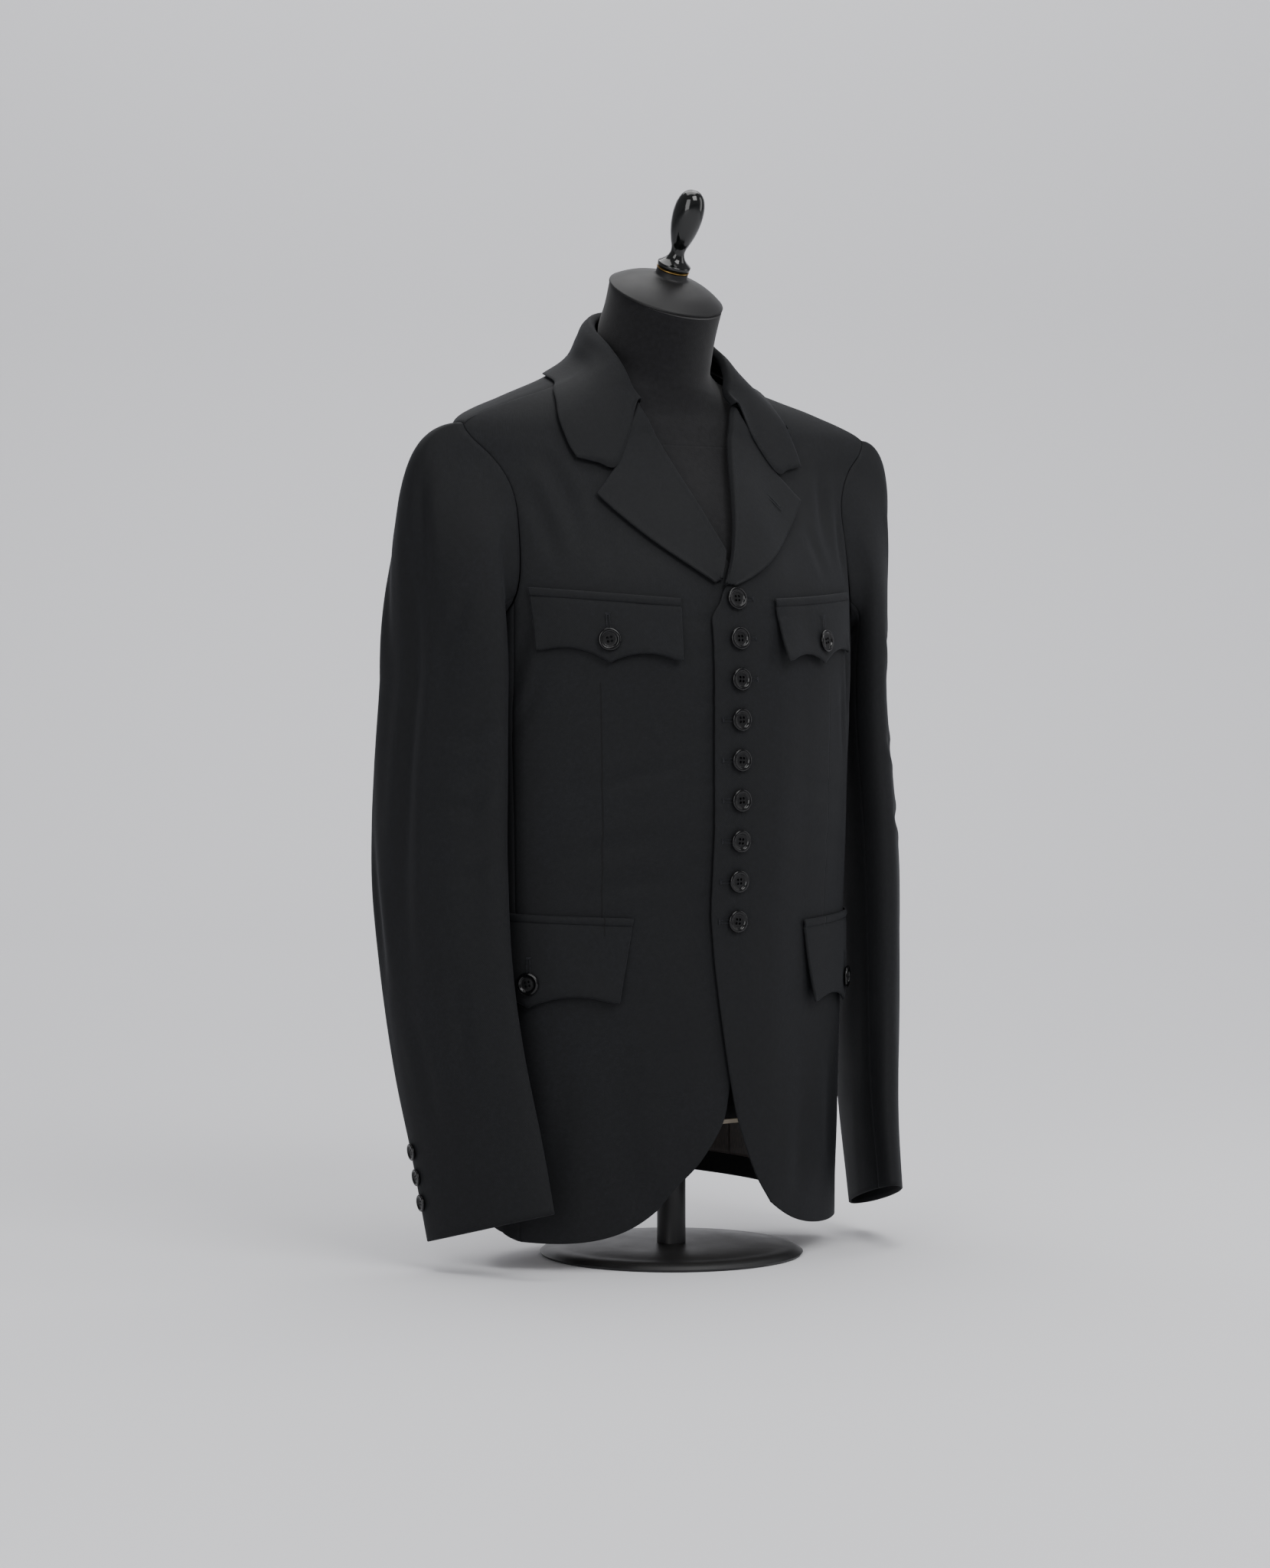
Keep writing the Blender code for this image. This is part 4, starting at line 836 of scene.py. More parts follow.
# Columns: around, depth, spread, middle, reach
SLEEVE_FOLDS = (
    (118.0, 0.0042, 16.0, 0.46, 0.20),
    (78.0, 0.0026, 14.0, 0.60, 0.09),
    (150.0, 0.0024, 14.0, 0.30, 0.16),
    (40.0, 0.0022, 16.0, 0.36, 0.14),
)


def swung(points, side):
    """The wearer's left arm hangs further forward from below the armhole down."""
    if side < 0:
        return points * np.array([-1.0, 1.0, 1.0])
    share = soft_step(0.0, 1.0, (SWING_TOP - points[..., 2]) / (SWING_TOP - SWING_FULL))
    return points - np.stack([0 * share, ARM_SWING * share, 0 * share], axis=-1)


def sleeve_ring(around, height):
    columns = np.moveaxis(table_at(SLEEVE_ROWS, height), -1, 0)
    centre_x, centre_y, thick, wide, turn, rise = columns
    a, t = np.radians(around), np.radians(turn)
    reach = wide * np.cos(a)
    across = thick * np.sin(a) * np.where(np.sin(a) < 0, UNDER_FLATNESS, 1.0)
    return np.stack([centre_x - np.sin(t) * reach + np.cos(t) * across,
                     centre_y - np.cos(t) * reach - np.sin(t) * across,
                     height + rise * reach], axis=-1)


def sleeve_point(around, along):
    """Points of the left sleeve: along is 0 at the armhole, 1 at the end of the head."""
    around, along = np.broadcast_arrays(np.asarray(around, float), np.asarray(along, float))
    on_hole = armhole((90.0 - around) / 360.0)
    on_hole = ARMHOLE_CENTRE + (on_hole - ARMHOLE_CENTRE) * 0.990
    start = cloth_point(on_hole[..., 0], on_hole[..., 1], np.full(around.shape, 0.0010))
    height = HEAD_END + (CUFF_HEIGHT - HEAD_END) * np.maximum(along - 1.0, 0.0)
    tube = sleeve_ring(around, height)
    a = np.radians(around)
    top, under = np.maximum(np.sin(a), 0.0), np.maximum(-np.sin(a), 0.0)
    start_pull = np.stack([0.100 + 0.10 * top, 0.050 * top, -0.014 - 0.046 * under], axis=-1)
    start_pull = start_pull * (1.0 - 0.72 * under)[..., None]
    end_pull = np.stack([0 * top, 0 * top, -0.06 - 0.22 * (1 - under)], axis=-1)
    t = np.clip(along, 0.0, 1.0)[..., None]
    head = hermite(t, 1.0, start, start_pull, tube, end_pull)
    return np.where(along[..., None] >= 1.0, tube, head)


def sleeve_surface(around, along):
    """The points and outward directions of the left sleeve, with its longest folds."""
    around, along = np.broadcast_arrays(np.asarray(around, float), np.asarray(along, float))
    around_it = sleeve_point(around + 2.0, along) - sleeve_point(around - 2.0, along)
    down_it = (sleeve_point(around, along + 0.02)
               - sleeve_point(around, np.maximum(along - 0.02, 0.0)))
    outward = unit(np.cross(down_it, around_it))
    point = sleeve_point(around, along)
    depth = np.zeros(around.shape)
    for middle, deep, spread, level, reach in SLEEVE_FOLDS:
        off = (around % 360 - middle) / spread
        rise = (point[..., 2] - level) / reach
        depth += deep * np.exp(-off**2) * np.exp(-rise**2)
    return point - outward * depth[..., None], outward


# %% Sleeve creases
# Around the sleeve and height along each crease, then width, depth and where it is deepest
RIGHT_SLEEVE_CREASES = (
    (((90, 0.655), (95, 0.560), (100, 0.430), (104, 0.300), (106, 0.190)), 0.0105, 0.0046, 0.45),
    (((76, 0.655), (78, 0.600), (82, 0.540)), 0.0065, 0.0030, 0.40),
    (((40, 0.560), (58, 0.530), (84, 0.512)), 0.0065, 0.0018, 0.35),
    (((24, 0.470), (42, 0.452), (66, 0.446)), 0.0065, 0.0018, 0.40),
    (((20, 0.412), (44, 0.392), (70, 0.392)), 0.0065, 0.0021, 0.45),
    (((22, 0.352), (40, 0.336), (62, 0.330)), 0.0060, 0.0017, 0.40),
    (((150, 0.380), (142, 0.300), (138, 0.225)), 0.0075, 0.0021, 0.50),
    (((60, 0.270), (66, 0.205), (72, 0.140)), 0.0080, 0.0018, 0.55),
    (((112, 0.240), (106, 0.180), (108, 0.120)), 0.0070, 0.0014, 0.50),
    (((140, 0.610), (136, 0.560), (132, 0.505)), 0.0070, 0.0018, 0.45),
    (((250, 0.520), (262, 0.470), (270, 0.410)), 0.0060, 0.0014, 0.40),
    (((300, 0.400), (290, 0.350), (282, 0.300)), 0.0060, 0.0013, 0.50),
    (((175, 0.560), (170, 0.480), (172, 0.390)), 0.0070, 0.0017, 0.50),
)
LEFT_SLEEVE_CREASES = (
    (((92, 0.660), (99, 0.566), (110, 0.452), (121, 0.330)), 0.0085, 0.0026, 0.50),
    (((66, 0.640), (70, 0.596), (76, 0.552)), 0.0060, 0.0017, 0.45),
    (((30, 0.540), (50, 0.520), (76, 0.508)), 0.0065, 0.0019, 0.40),
    (((18, 0.455), (40, 0.436), (60, 0.436)), 0.0060, 0.0019, 0.45),
    (((22, 0.388), (46, 0.374), (74, 0.378)), 0.0065, 0.0018, 0.40),
    (((150, 0.400), (144, 0.318), (136, 0.240)), 0.0075, 0.0020, 0.45),
    (((56, 0.290), (60, 0.220), (70, 0.150)), 0.0080, 0.0017, 0.50),
    (((136, 0.600), (133, 0.548), (129, 0.498)), 0.0070, 0.0017, 0.50),
    (((255, 0.510), (266, 0.455), (272, 0.400)), 0.0060, 0.0013, 0.45),
    (((176, 0.550), (172, 0.470), (168, 0.380)), 0.0070, 0.0015, 0.50),
)


def sleeve_path(steps, side):
    steps = np.array(steps, float)
    t = np.linspace(0, len(steps) - 1, 8 * (len(steps) - 1) + 1)
    around = np.interp(t, range(len(steps)), steps[:, 0])
    height = np.interp(t, range(len(steps)), steps[:, 1])
    head = np.clip((HEAD_TOP - height) / (HEAD_TOP - HEAD_END), 0.05, 1.0)
    along = np.where(height > HEAD_END, head,
                     1.0 + (HEAD_END - height) / (HEAD_END - CUFF_HEIGHT))
    return swung(sleeve_surface(around, along)[0], side)


def sleeve_piece(name, node_name, side, first, last, columns, creases):
    length = (last - first) / 360 * SLEEVE_GIRTH
    share = stations(columns, length=length)
    around = first + (last - first) * share
    head = np.linspace(0, 1, 46) ** 0.9
    tube = 1 + stations(120, (0.002, 0.006), 0.46)[2:]
    alongs = np.concatenate([head[:-1], [1.0], tube[tube > 1.004]])
    mirror = np.array([side, 1, 1])
    point, outward = sleeve_surface(around[None, :], alongs[:, None])
    smooth, outward = swung(point, side), outward * mirror
    out = crease_field(smooth, creases) + gentle_waves(smooth, WAVE_SIZE)
    fade = soft_step(0.0, 0.25, alongs)[:, None]
    out = out * fade + seam_dip(share, length, (True, True))[None, :]
    out = out - 0.0003 * np.exp(-(alongs / 0.02) ** 2)[:, None]
    sheet = smooth + outward * out[..., None]
    made = shell(name, sheet, grid_normals(sheet, outward), WALL, gabardine)
    declare(made, smooth, node_name)


for side, word, rows in ((1, "left", LEFT_SLEEVE_CREASES), (-1, "right", RIGHT_SLEEVE_CREASES)):
    creases = [(sleeve_path(steps, side), w, d, peak) for steps, w, d, peak in rows]
    sleeve_piece(f"cloth_sleeve_{word}_upper", f"sleeve_{word}_upper", side,
                 SLEEVE_FRONT_SEAM + 0.1, SLEEVE_BACK_SEAM - 0.1, 60, creases)
    sleeve_piece(f"cloth_sleeve_{word}_under", f"sleeve_{word}_under", side,
                 SLEEVE_BACK_SEAM + 0.1, 360 + SLEEVE_FRONT_SEAM - 0.1, 34, creases)

# %% [markdown]
# The collar starts at the neckline seam, stands up against the neck, folds over and falls
# onto the shoulders. It is lofted through sections from the centre back to its two ends,
# where it meets the lapels at the notches. Smooth curves run through the sections both ways.

# %% Collar sections
# Columns: share, x, y, z
COLLAR_FOLD = (
    (0.00, 0.0000, 0.0812, 0.8220),
    (0.22, 0.0362, 0.0700, 0.8180),
    (0.42, 0.0548, 0.0425, 0.8040),
    (0.60, 0.0575, 0.0170, 0.7890),
    (0.80, 0.0545, -0.0045, 0.7675),
    (1.00, 0.0455, -0.0125, 0.7400),
)
# The outer edge on the wearer's left, then on the right, where it lies further out
# Columns: share, left angle, left height, right angle, right height
COLLAR_EDGE = (
    (0.00, 180.0, 0.7430, 180.0, 0.7430),
    (0.22, 146.0, 0.7450, 146.0, 0.7450),
    (0.42, 116.0, 0.7510, 116.0, 0.7510),
    (0.60, 86.0, 0.7535, 92.0, 0.7525),
    (0.68, 62.0, 0.7490, 75.0, 0.7483),
    (0.76, 48.5, 0.7402, 58.0, 0.7393),
    (0.84, 41.2, 0.7272, 46.5, 0.7250),
    (0.92, 38.9, 0.7090, 42.0, 0.7080),
    (1.00, 36.0, 0.6900, 38.0, 0.6900),
)
NECKLINE_SHARE = 0.60
COLLAR_REST = 0.0036
FOOT_RISE = 0.0020
COLLAR_WALL = 0.0012
FOLD_RADIUS = 0.0040
FALL_CLEARANCE = 0.0068
EDGE_SETTLES = 0.0022
SETTLE_MIDDLE = 0.56
SETTLE_SPREAD = 0.18
NOTCH_X = 0.0830
COLLAR_TIP_X = 0.1170
COLLAR_TIP = 0.6905
LAPEL_TIP_X = 0.1055
LAPEL_TIP = 0.6590
COLLAR_END = (
    (0.0056, 0.0046, 0.0016),
    (0.0034, 0.0036, 0.0018),
    (0.0010, 0.0046, 0.0036),
    (0.0022, 0.0056, 0.0078),
    (0.0048, 0.0040, 0.0080),
)
END_GAP = np.array([0.0002, 0.0005])


def lifted_point(side, x, height, out):
    """Points over a front, with the wearer's left one lifted by the lap."""
    angle = np.copysign(angle_at(np.abs(x), height), x) * side
    return cloth_point(angle, height, out + (lap_lift(x) if side > 0 else 0.0 * np.abs(x)))


def collar_foot(share):
    """The neckline seam, from the centre back to the top of the lapel's fold."""
    if share < NECKLINE_SHARE:
        return np.array([180.0 - 90.0 * share / NECKLINE_SHARE, NECK_POINT + FOOT_RISE])
    up = 1.0 - 0.08 * (share - NECKLINE_SHARE) / (1 - NECKLINE_SHARE)
    angle, height = front_edge(up, 1)
    return np.array([angle - 2.5, height + FOOT_RISE])


def collar_end(side):
    fold = np.array([float(roll_x(GORGE_TOP)), GORGE_TOP])
    notch = np.array([NOTCH_X, NOTCH])
    tip = np.array([COLLAR_TIP_X, COLLAR_TIP])
    points = [lifted_point(side, fold[0] + x, fold[1] + up, out) for x, up, out in COLLAR_END]
    for place, out in ((fold + (notch - fold) * 0.5 + END_GAP, 0.0050), (notch + END_GAP, 0.0040),
                       ((notch + tip) / 2, 0.0040), (tip, 0.0042)):
        points.append(lifted_point(side, place[0], place[1], out))
    return points


def collar_section(share, side):
    """From the foot up the stand, over the fold and down the fall to the outer edge."""
    if share > 0.999:
        return collar_end(side)
    mirror = np.array([side, 1, 1])
    foot_at = collar_foot(share)
    edges = table_at(COLLAR_EDGE, share)
    edge_at = edges[:2] if side > 0 else edges[2:]

    def lift(x):
        return float(lap_lift(x)) if side > 0 and share > NECKLINE_SHARE else 0.0

    def fall(along, out):
        place = foot_at + (edge_at - foot_at) * along
        return cloth_point(*place, out + lift(abs(body_point(*place)[0]))) * mirror

    foot = fall(0.0, 0.0012)
    fold = table_at(COLLAR_FOLD, share)
    fold = (fold + body_normal(*foot_at) * lift(fold[0])) * mirror
    middle = fall(0.22, FALL_CLEARANCE)
    settled = EDGE_SETTLES * math.exp(-((share - SETTLE_MIDDLE) / SETTLE_SPREAD) ** 2)
    edge = fall(1.0, COLLAR_REST - settled)
    away = body_normal(*foot_at) * mirror
    away[2] = 0.0
    away = away / np.linalg.norm(away) * FOLD_RADIUS
    top = fold + np.array([0.0, 0.0, FOLD_RADIUS * 0.7])
    stand = (foot + fold) / 2
    return [foot, stand, fold - away, top, fold + away, (fold + middle) / 2 + away * 0.7,
            middle, fall(0.60, COLLAR_REST + 0.0008 - settled * 0.4), edge]


def through(points, count):
    """More points on smooth curves through a grid's rows, the first and last kept."""
    points = np.asarray(points, float)
    steps = np.linalg.norm(np.diff(points, axis=0), axis=-1)
    steps = steps.reshape(len(steps), -1).mean(axis=1)
    keys = np.concatenate([[0.0], np.cumsum(steps)])
    slopes = np.gradient(points, keys, axis=0)
    at = np.interp(np.linspace(0, len(keys) - 1, count), range(len(keys)), keys)
    after = np.clip(np.searchsorted(keys, at), 1, len(keys) - 1)
    before = after - 1
    shape = (count,) + (1,) * (points.ndim - 1)
    width = (keys[after] - keys[before]).reshape(shape)
    t = (at - keys[before]).reshape(shape) / width
    return hermite(t, width, points[before], slopes[before], points[after], slopes[after])


# %% Collar
COLLAR_ROWS = 126
COLLAR_ACROSS = 57
shares = [NECKLINE_SHARE * k / 4 for k in range(4)]
shares += [NECKLINE_SHARE + (1 - NECKLINE_SHARE) * k / 5 for k in range(6)]
sections = [collar_section(share, -1) for share in shares[:0:-1]]
sections += [collar_section(share, 1) for share in shares]
sections = np.array(sections)
collar_sheet = through(sections, COLLAR_ROWS)
collar_sheet = np.swapaxes(through(np.swapaxes(collar_sheet, 0, 1), COLLAR_ACROSS), 0, 1)
collar_out = grid_normals(collar_sheet)
if float(collar_out[len(collar_out) // 2, -8, 1]) < 0:
    collar_out = -collar_out
on_fall = soft_step(0.45, 0.75, np.linspace(0, 1, COLLAR_ACROSS))[None, :, None]
waves = gentle_waves(collar_sheet, 0.0003)[..., None]
collar_face = collar_sheet + collar_out * (COLLAR_WALL / 2 + waves * on_fall)
collar = shell("cloth_collar", collar_face, grid_normals(collar_face, collar_out), COLLAR_WALL,
               gabardine)
declare(collar, collar_sheet, "collar")

# %% [markdown]
# A lapel is the front's own facing, turned back along the roll line. It is widest at the
# notch, lies on the chest and rises to a soft round roll at its fold.

# %% Lapels
# Columns: side, low, bend, first share, fold start
LAPEL_EDGES = {
    1: ((-0.0040, 0.5810), (0.0430, 0.5940), 0.00, 0.5815),
    -1: ((-0.0140, 0.5660), (0.0520, 0.5950), 0.27, 0.5870),
}
# Columns: across, outside, inside
LAPEL_ROWS = (
    (0.000, 0.0012, -0.0008),
    (0.035, 0.0046, 0.0014),
    (0.120, 0.0048, 0.0016),
    (0.340, 0.0040, 0.0012),
    (0.620, 0.0036, 0.0010),
    (0.860, 0.0036, 0.0010),
    (1.000, 0.0042, 0.0016),
)
NOTCH_SHARE = 0.62


def lapel_edge(side, share):
    low, bend = (np.array(p) for p in LAPEL_EDGES[side][:2])
    tip = np.array([LAPEL_TIP_X, LAPEL_TIP])
    return (1 - share) ** 2 * low + 2 * share * (1 - share) * bend + share**2 * tip


def gorge_bend(across):
    """How far the lapel's top edge leaves a straight line to pass through the notch."""
    fold = np.array([float(roll_x(GORGE_TOP)), GORGE_TOP])
    notch = np.array([NOTCH_X, NOTCH])
    tip = np.array([LAPEL_TIP_X, LAPEL_TIP])
    across = across[:, None]
    bent = np.where(across < NOTCH_SHARE,
                    fold + (notch - fold) * across / NOTCH_SHARE,
                    notch + (tip - notch) * (across - NOTCH_SHARE) / (1 - NOTCH_SHARE))
    return bent - (fold + (tip - fold) * across)


LAPEL_REACH = 0.0042
LAPEL_WALL = 0.0020


def lapel(side, word):
    start, fold_start = LAPEL_EDGES[side][2:]
    across = np.concatenate([np.linspace(0, 0.035, 5), np.linspace(0.05, 0.97, 34), [0.985, 1.0]])
    outer, wall = [], []
    heights = np.linspace(0, 1, 84)
    for share in heights:
        height = fold_start + (GORGE_TOP - fold_start) * share
        line = float(roll_x(height))
        fold_x = max(line, 0.0040 - line) if side < 0 else line
        fold = np.array([fold_x, height])
        edge = lapel_edge(side, start + (1 - start) * share)
        places = fold + (edge - fold) * across[:, None] + gorge_bend(across) * share**5
        reach = LAPEL_REACH * float(soft_step(0.90, 1.0, share)) * np.maximum(1 - across / 0.5, 0)
        places[:, 1] += reach
        places[:, 0] += reach * 0.5
        up, down = np.moveaxis(table_at(LAPEL_ROWS, across), -1, 0)
        flat = min((fold_x - line) / UNDER_FOLD, 1.0) * (1 - soft_step(0.0, 0.035, across))
        up, down = up + 0.0020 * flat, down + 0.0024 * flat
        outer.append(lifted_point(side, places[:, 0], places[:, 1], up))
        wall.append(lifted_point(side, places[:, 0], places[:, 1], down))
    outer, wall = np.array(outer), np.array(wall)
    outward = unit(outer - wall)
    waves = relief(outer) * 0.8 + gentle_waves(outer + 0.3, 0.00025)
    face = outer + outward * waves[..., None]
    made = shell(f"cloth_lapel_{word}", face, grid_normals(face, outward), LAPEL_WALL, gabardine)
    declare(made, outer, f"lapel_{word}")


for side, word in ((1, "left"), (-1, "right")):
    lapel(side, word)

# %% [markdown]
# Each pocket is a welted slit closed by a flap. The flap's lower edge has two hollow
# scallops that meet in a middle point, where a button holds it. It is a doubled piece of
# cloth, so its wall is thicker, and it stands off the chest a little towards its edge.

# %% Pockets
# Columns: name, side, from front, width, top, outer rise, strip, flap, taper, scallop,
# point, stand off
POCKETS = (
    ("chest", 1, 0.0375, 0.1275, 0.5690, 0.0090, 0.0070, 0.0480, 0.0030, 0.0085, 0.0040, 0.0075),
    ("chest", -1, 0.0560, 0.1275, 0.5690, 0.0090, 0.0070, 0.0480, 0.0030, 0.0085, 0.0040, 0.0030),
    ("lower", 1, 0.0790, 0.1720, 0.2930, 0.0060, 0.0062, 0.0665, 0.0080, 0.0090, 0.0055, 0.0045),
    ("lower", -1, 0.0975, 0.1720, 0.2995, 0.0060, 0.0062, 0.0665, 0.0080, 0.0090, 0.0055, 0.0030),
)
SEAM_GAP = 0.0003
DOUBLE_WALL = 0.0024
FLAP_REST = 0.0012
FLAP_FLARE = 0.0016
STRIP_LIFT = 0.0036
WELT_WALL = 0.0018
BUTTON_ABOVE_POINT = 0.0150
WALK_ANGLES = np.linspace(0.0, 178.0, 357)


def angle_along(distance, height):
    """The angle reached by walking this far round the body from the centre front."""
    distance, height = np.broadcast_arrays(np.asarray(distance, float), np.asarray(height, float))
    flat_height = height.ravel()
    line = body_point(WALK_ANGLES[None, :], flat_height[:, None])
    walked = np.cumsum(np.linalg.norm(np.diff(line, axis=1), axis=2), axis=1)
    walked = np.concatenate([np.zeros((len(flat_height), 1)), walked], axis=1)
    found = [np.interp(d, w, WALK_ANGLES) for d, w in zip(distance.ravel(), walked)]
    return np.array(found).reshape(distance.shape)


def flap_point(pocket, across, down, out):
    """Points over a pocket: across runs 0 to 1 away from the front, down is in metres."""
    side, start, width, top, rise, taper = (pocket[k] for k in (1, 2, 3, 4, 5, 8))
    height = top + rise * across - down
    inset = taper * down / 0.05
    angle = angle_along(start + inset + (width - 2 * inset) * across, height) * side
    on = body_point(angle, height)
    lift = lap_lift(np.abs(on[..., 0])) if side > 0 else 0.0
    return cloth_point(angle, height, out + lift + relief(on))


def flap_depth(pocket, across):
    """The lower edge: two hollow scallops between rounded corners and a middle point."""
    off = np.abs(2 * across - 1)
    hollow = pocket[9] * np.sin(math.pi * off) ** 0.8
    corner = 0.002 * np.maximum(off - 0.90, 0) / 0.10
    return pocket[6] + pocket[7] - hollow + pocket[10] * (1 - off) - corner


def flap_flare(pocket, across, share):
    """How far the flap stands off the panel; its corner nearest the front most."""
    return (FLAP_FLARE + pocket[11] * (1 - across) ** 2) * share**2


def pocket_pieces(pocket):
    name, side, strip = pocket[0], pocket[1], pocket[6]
    word = "left" if side > 0 else "right"
    across = stations(60, (0.0, 0.0009, 0.0022), pocket[3])

    # The welt is a narrow folded strip, sewn down above the flap
    share = np.linspace(0, 1, 9)[:, None]
    down = np.broadcast_to(strip * share, (9, len(across)))
    grid = np.broadcast_to(across[None, :], down.shape)
    crown = 0.0007 * np.sin(math.pi * share) ** 0.7
    outer = flap_point(pocket, grid, down, STRIP_LIFT - 0.0005 + crown)
    inner = flap_point(pocket, grid, down, FLAP_REST)
    outward = unit(outer - inner)
    welt = shell(f"cloth_{name}_welt_{word}", outer, grid_normals(outer, outward), WELT_WALL,
                 gabardine)
    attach(welt, "root")
    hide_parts(f"{name}_pocket_strip_{word}")

    share = np.linspace(0, 1, 34)[:, None]
    low = flap_depth(pocket, np.clip(across, 0.0, 1.0))
    down = strip + SEAM_GAP + (low - strip - SEAM_GAP)[None, :] * share
    flare = flap_flare(pocket, across[None, :], share)
    grid = np.broadcast_to(across[None, :], down.shape)
    roll = 0.0006 * np.exp(-(share / 0.05) ** 2)
    edge = -0.0005 * np.exp(-((1 - share) / 0.04) ** 2)
    pad = 0.0007 * np.sin(math.pi * np.clip(grid, 0, 1)) * np.sin(math.pi * share)
    outer = flap_point(pocket, grid, down, FLAP_REST + flare + DOUBLE_WALL + pad + edge - roll)
    inner = flap_point(pocket, grid, down, FLAP_REST + flare)
    outward = unit(outer - inner)
    waves = gentle_waves(outer + 0.7, 0.00022)[..., None]
    face = outer + outward * waves
    made = shell(f"cloth_{name}_flap_{word}", face, grid_normals(face, outward), DOUBLE_WALL,
                 gabardine)
    declare(made, outer, f"{name}_flap_{word}")


for pocket in POCKETS:
    pocket_pieces(pocket)

# %% [markdown]
# The lining is a thin brown-black satin, and it shows only through the open cutaway and
# under the hem. It stops short of the hem, where the jacket's own cloth turns up inside.

# %% Lining
LINING_WALL = 0.0010
LINING_GAP = 0.0007
LINING_ABOVE_HEM = 0.019
LINING_TOP = 0.165
LINING_SEAM = 137.0
LINING_SEAM_GAP = 0.12


def satin_cloth():
    made, tree, shader = new_finish(
        "brown_black_viscose_lining", "#3A332F", 0.42, Sheen_Weight=0.10,
        Specular_IOR_Level=0.5)
    cloth = node(tree, "ShaderNodeUVMap", {"uv_map": "cloth"}).outputs["UV"]
    stretched = node(tree, "ShaderNodeMapping", inputs={
        "Vector": cloth, "Scale": (1.0, 0.12, 1.0)})
    threads = noise(tree, stretched.outputs["Vector"], 1400.0, Detail=2.0)
    wire(tree, shader, Base_Color=ramp(tree, threads, ((0.3, "#322C29"), (0.7, "#443C37"))),
         Normal=bump(tree, 0.15, 0.0002, threads))
    return made


lining_satin = satin_cloth()


def lining(name, node_name, first, last):
    length = abs(last - first) / 180 * 0.45
    angles = first + (last - first) * stations(44, (0.0, 0.001, 0.0024), length)
    share = np.linspace(0, 1, 40)[:, None]
    low = hem_height(angles) + LINING_ABOVE_HEM
    height = low[None, :] + (LINING_TOP - low)[None, :] * share
    angle = np.broadcast_to(angles, height.shape)
    on = body_point(angle, height)
    outward = body_normal(angle, height)
    smooth = on - outward * (WALL + LINING_GAP)
    ripple = np.minimum(gentle_waves(on * 1.6, 0.0006), 0.0)
    pleat = -0.0012 * np.exp(-(share / 0.10) ** 2)
    out = np.minimum(relief(on), 0.0) + ripple + pleat * 0.6
    sheet = smooth + outward * out[..., None]
    made = shell(name, sheet, grid_normals(sheet, outward), LINING_WALL, lining_satin)
    declare(made, smooth, node_name)


lining("satin_lining_back", "lining_back", LINING_SEAM + LINING_SEAM_GAP,
       360 - LINING_SEAM - LINING_SEAM_GAP)
lining("satin_lining_side_left", "lining_side_left", FRONT_SEAM_ANGLE - 8,
       LINING_SEAM - LINING_SEAM_GAP)
lining("satin_lining_side_right", "lining_side_right", 360 - LINING_SEAM + LINING_SEAM_GAP,
       368 - FRONT_SEAM_ANGLE)

# %% [markdown]
# The buttons are black horn, turned on a lathe: a flat back, a rounded, polished rim and a
# duller dished middle with four sewing holes. One profile is spun, the holes are cut
# through it with a Boolean, and the mesh is set on each place. A turned piece needs about
# 48 steps to look round.


# %% Black horn
def horn(name, colours, smoothest, dullest, shine):
    made, tree, shader = new_finish(name, colours[0], dullest, IOR=1.54,
                                    Specular_IOR_Level=shine)
    place = node(tree, "ShaderNodeTexCoord").outputs["Object"]
    streaks = noise(tree, place, 260.0, Detail=4.0, Distortion=1.5)
    wire(tree, shader, Base_Color=ramp(tree, streaks, ((0.35, colours[0]), (0.75, colours[1]))),
         Roughness=between(tree, streaks, smoothest, dullest))
    return made


black_horn = horn("black_horn_polished_rim", ("#060607", "#0E0E0F"), 0.08, 0.16, 0.28)
dull_horn = horn("black_horn_dished_middle", ("#0E0E0F", "#171718"), 0.30, 0.42, 0.18)


# %% Turned pieces
def spun(profile, sides):
    """Points and faces of a profile of (radius, height) spun about Z, poles closed."""
    points, faces, rings = [], [], []
    for radius, height in profile:
        if radius < 1e-9:
            rings.append([len(points)] * sides)
            points.append((0.0, 0.0, height))
            continue
        rings.append(list(range(len(points), len(points) + sides)))
        for k in range(sides):
            a = 2 * math.pi * k / sides
            points.append((radius * math.cos(a), radius * math.sin(a), height))
    for low, high in zip(rings[:-1], rings[1:]):
        for k in range(sides):
            after = (k + 1) % sides
            face = []
            for corner in (low[k], high[k], high[after], low[after]):
                if corner not in face:
                    face.append(corner)
            if len(face) > 2:
                faces.append(tuple(face))
    return np.array(points), faces


def tube_faces(rings, sides):
    """Faces of a tube through rings of points, closed at both ends."""
    faces = []
    for r in range(rings - 1):
        for k in range(sides):
            a, b = r * sides + k, r * sides + (k + 1) % sides
            faces.append((a, b, b + sides, a + sides))
    return faces + [tuple(range(sides))[::-1], tuple(range((rings - 1) * sides, rings * sides))]


def rounded(profile, count):
    """A smooth profile through a few rows of (radius, height)."""
    return [(max(float(r), 0.0), float(h)) for r, h in through(np.array(profile), count)]


def stand_at(made, place, axis, turn=0.0):
    """Moves the mesh itself, so that the object stays at the origin."""
    lean = Vector(axis).to_track_quat("Z", "Y").to_matrix().to_4x4()
    made.data.transform(Matrix.Translation(Vector(place)) @ lean @ Matrix.Rotation(turn, 4, "Z"))


def facing_out(made):
    tool = bmesh.new()
    tool.from_mesh(made.data)
    bmesh.ops.remove_doubles(tool, verts=tool.verts, dist=1e-7)
    bmesh.ops.recalc_face_normals(tool, faces=tool.faces)
    tool.to_mesh(made.data)
    tool.free()
    made.data.shade_smooth()
    return made


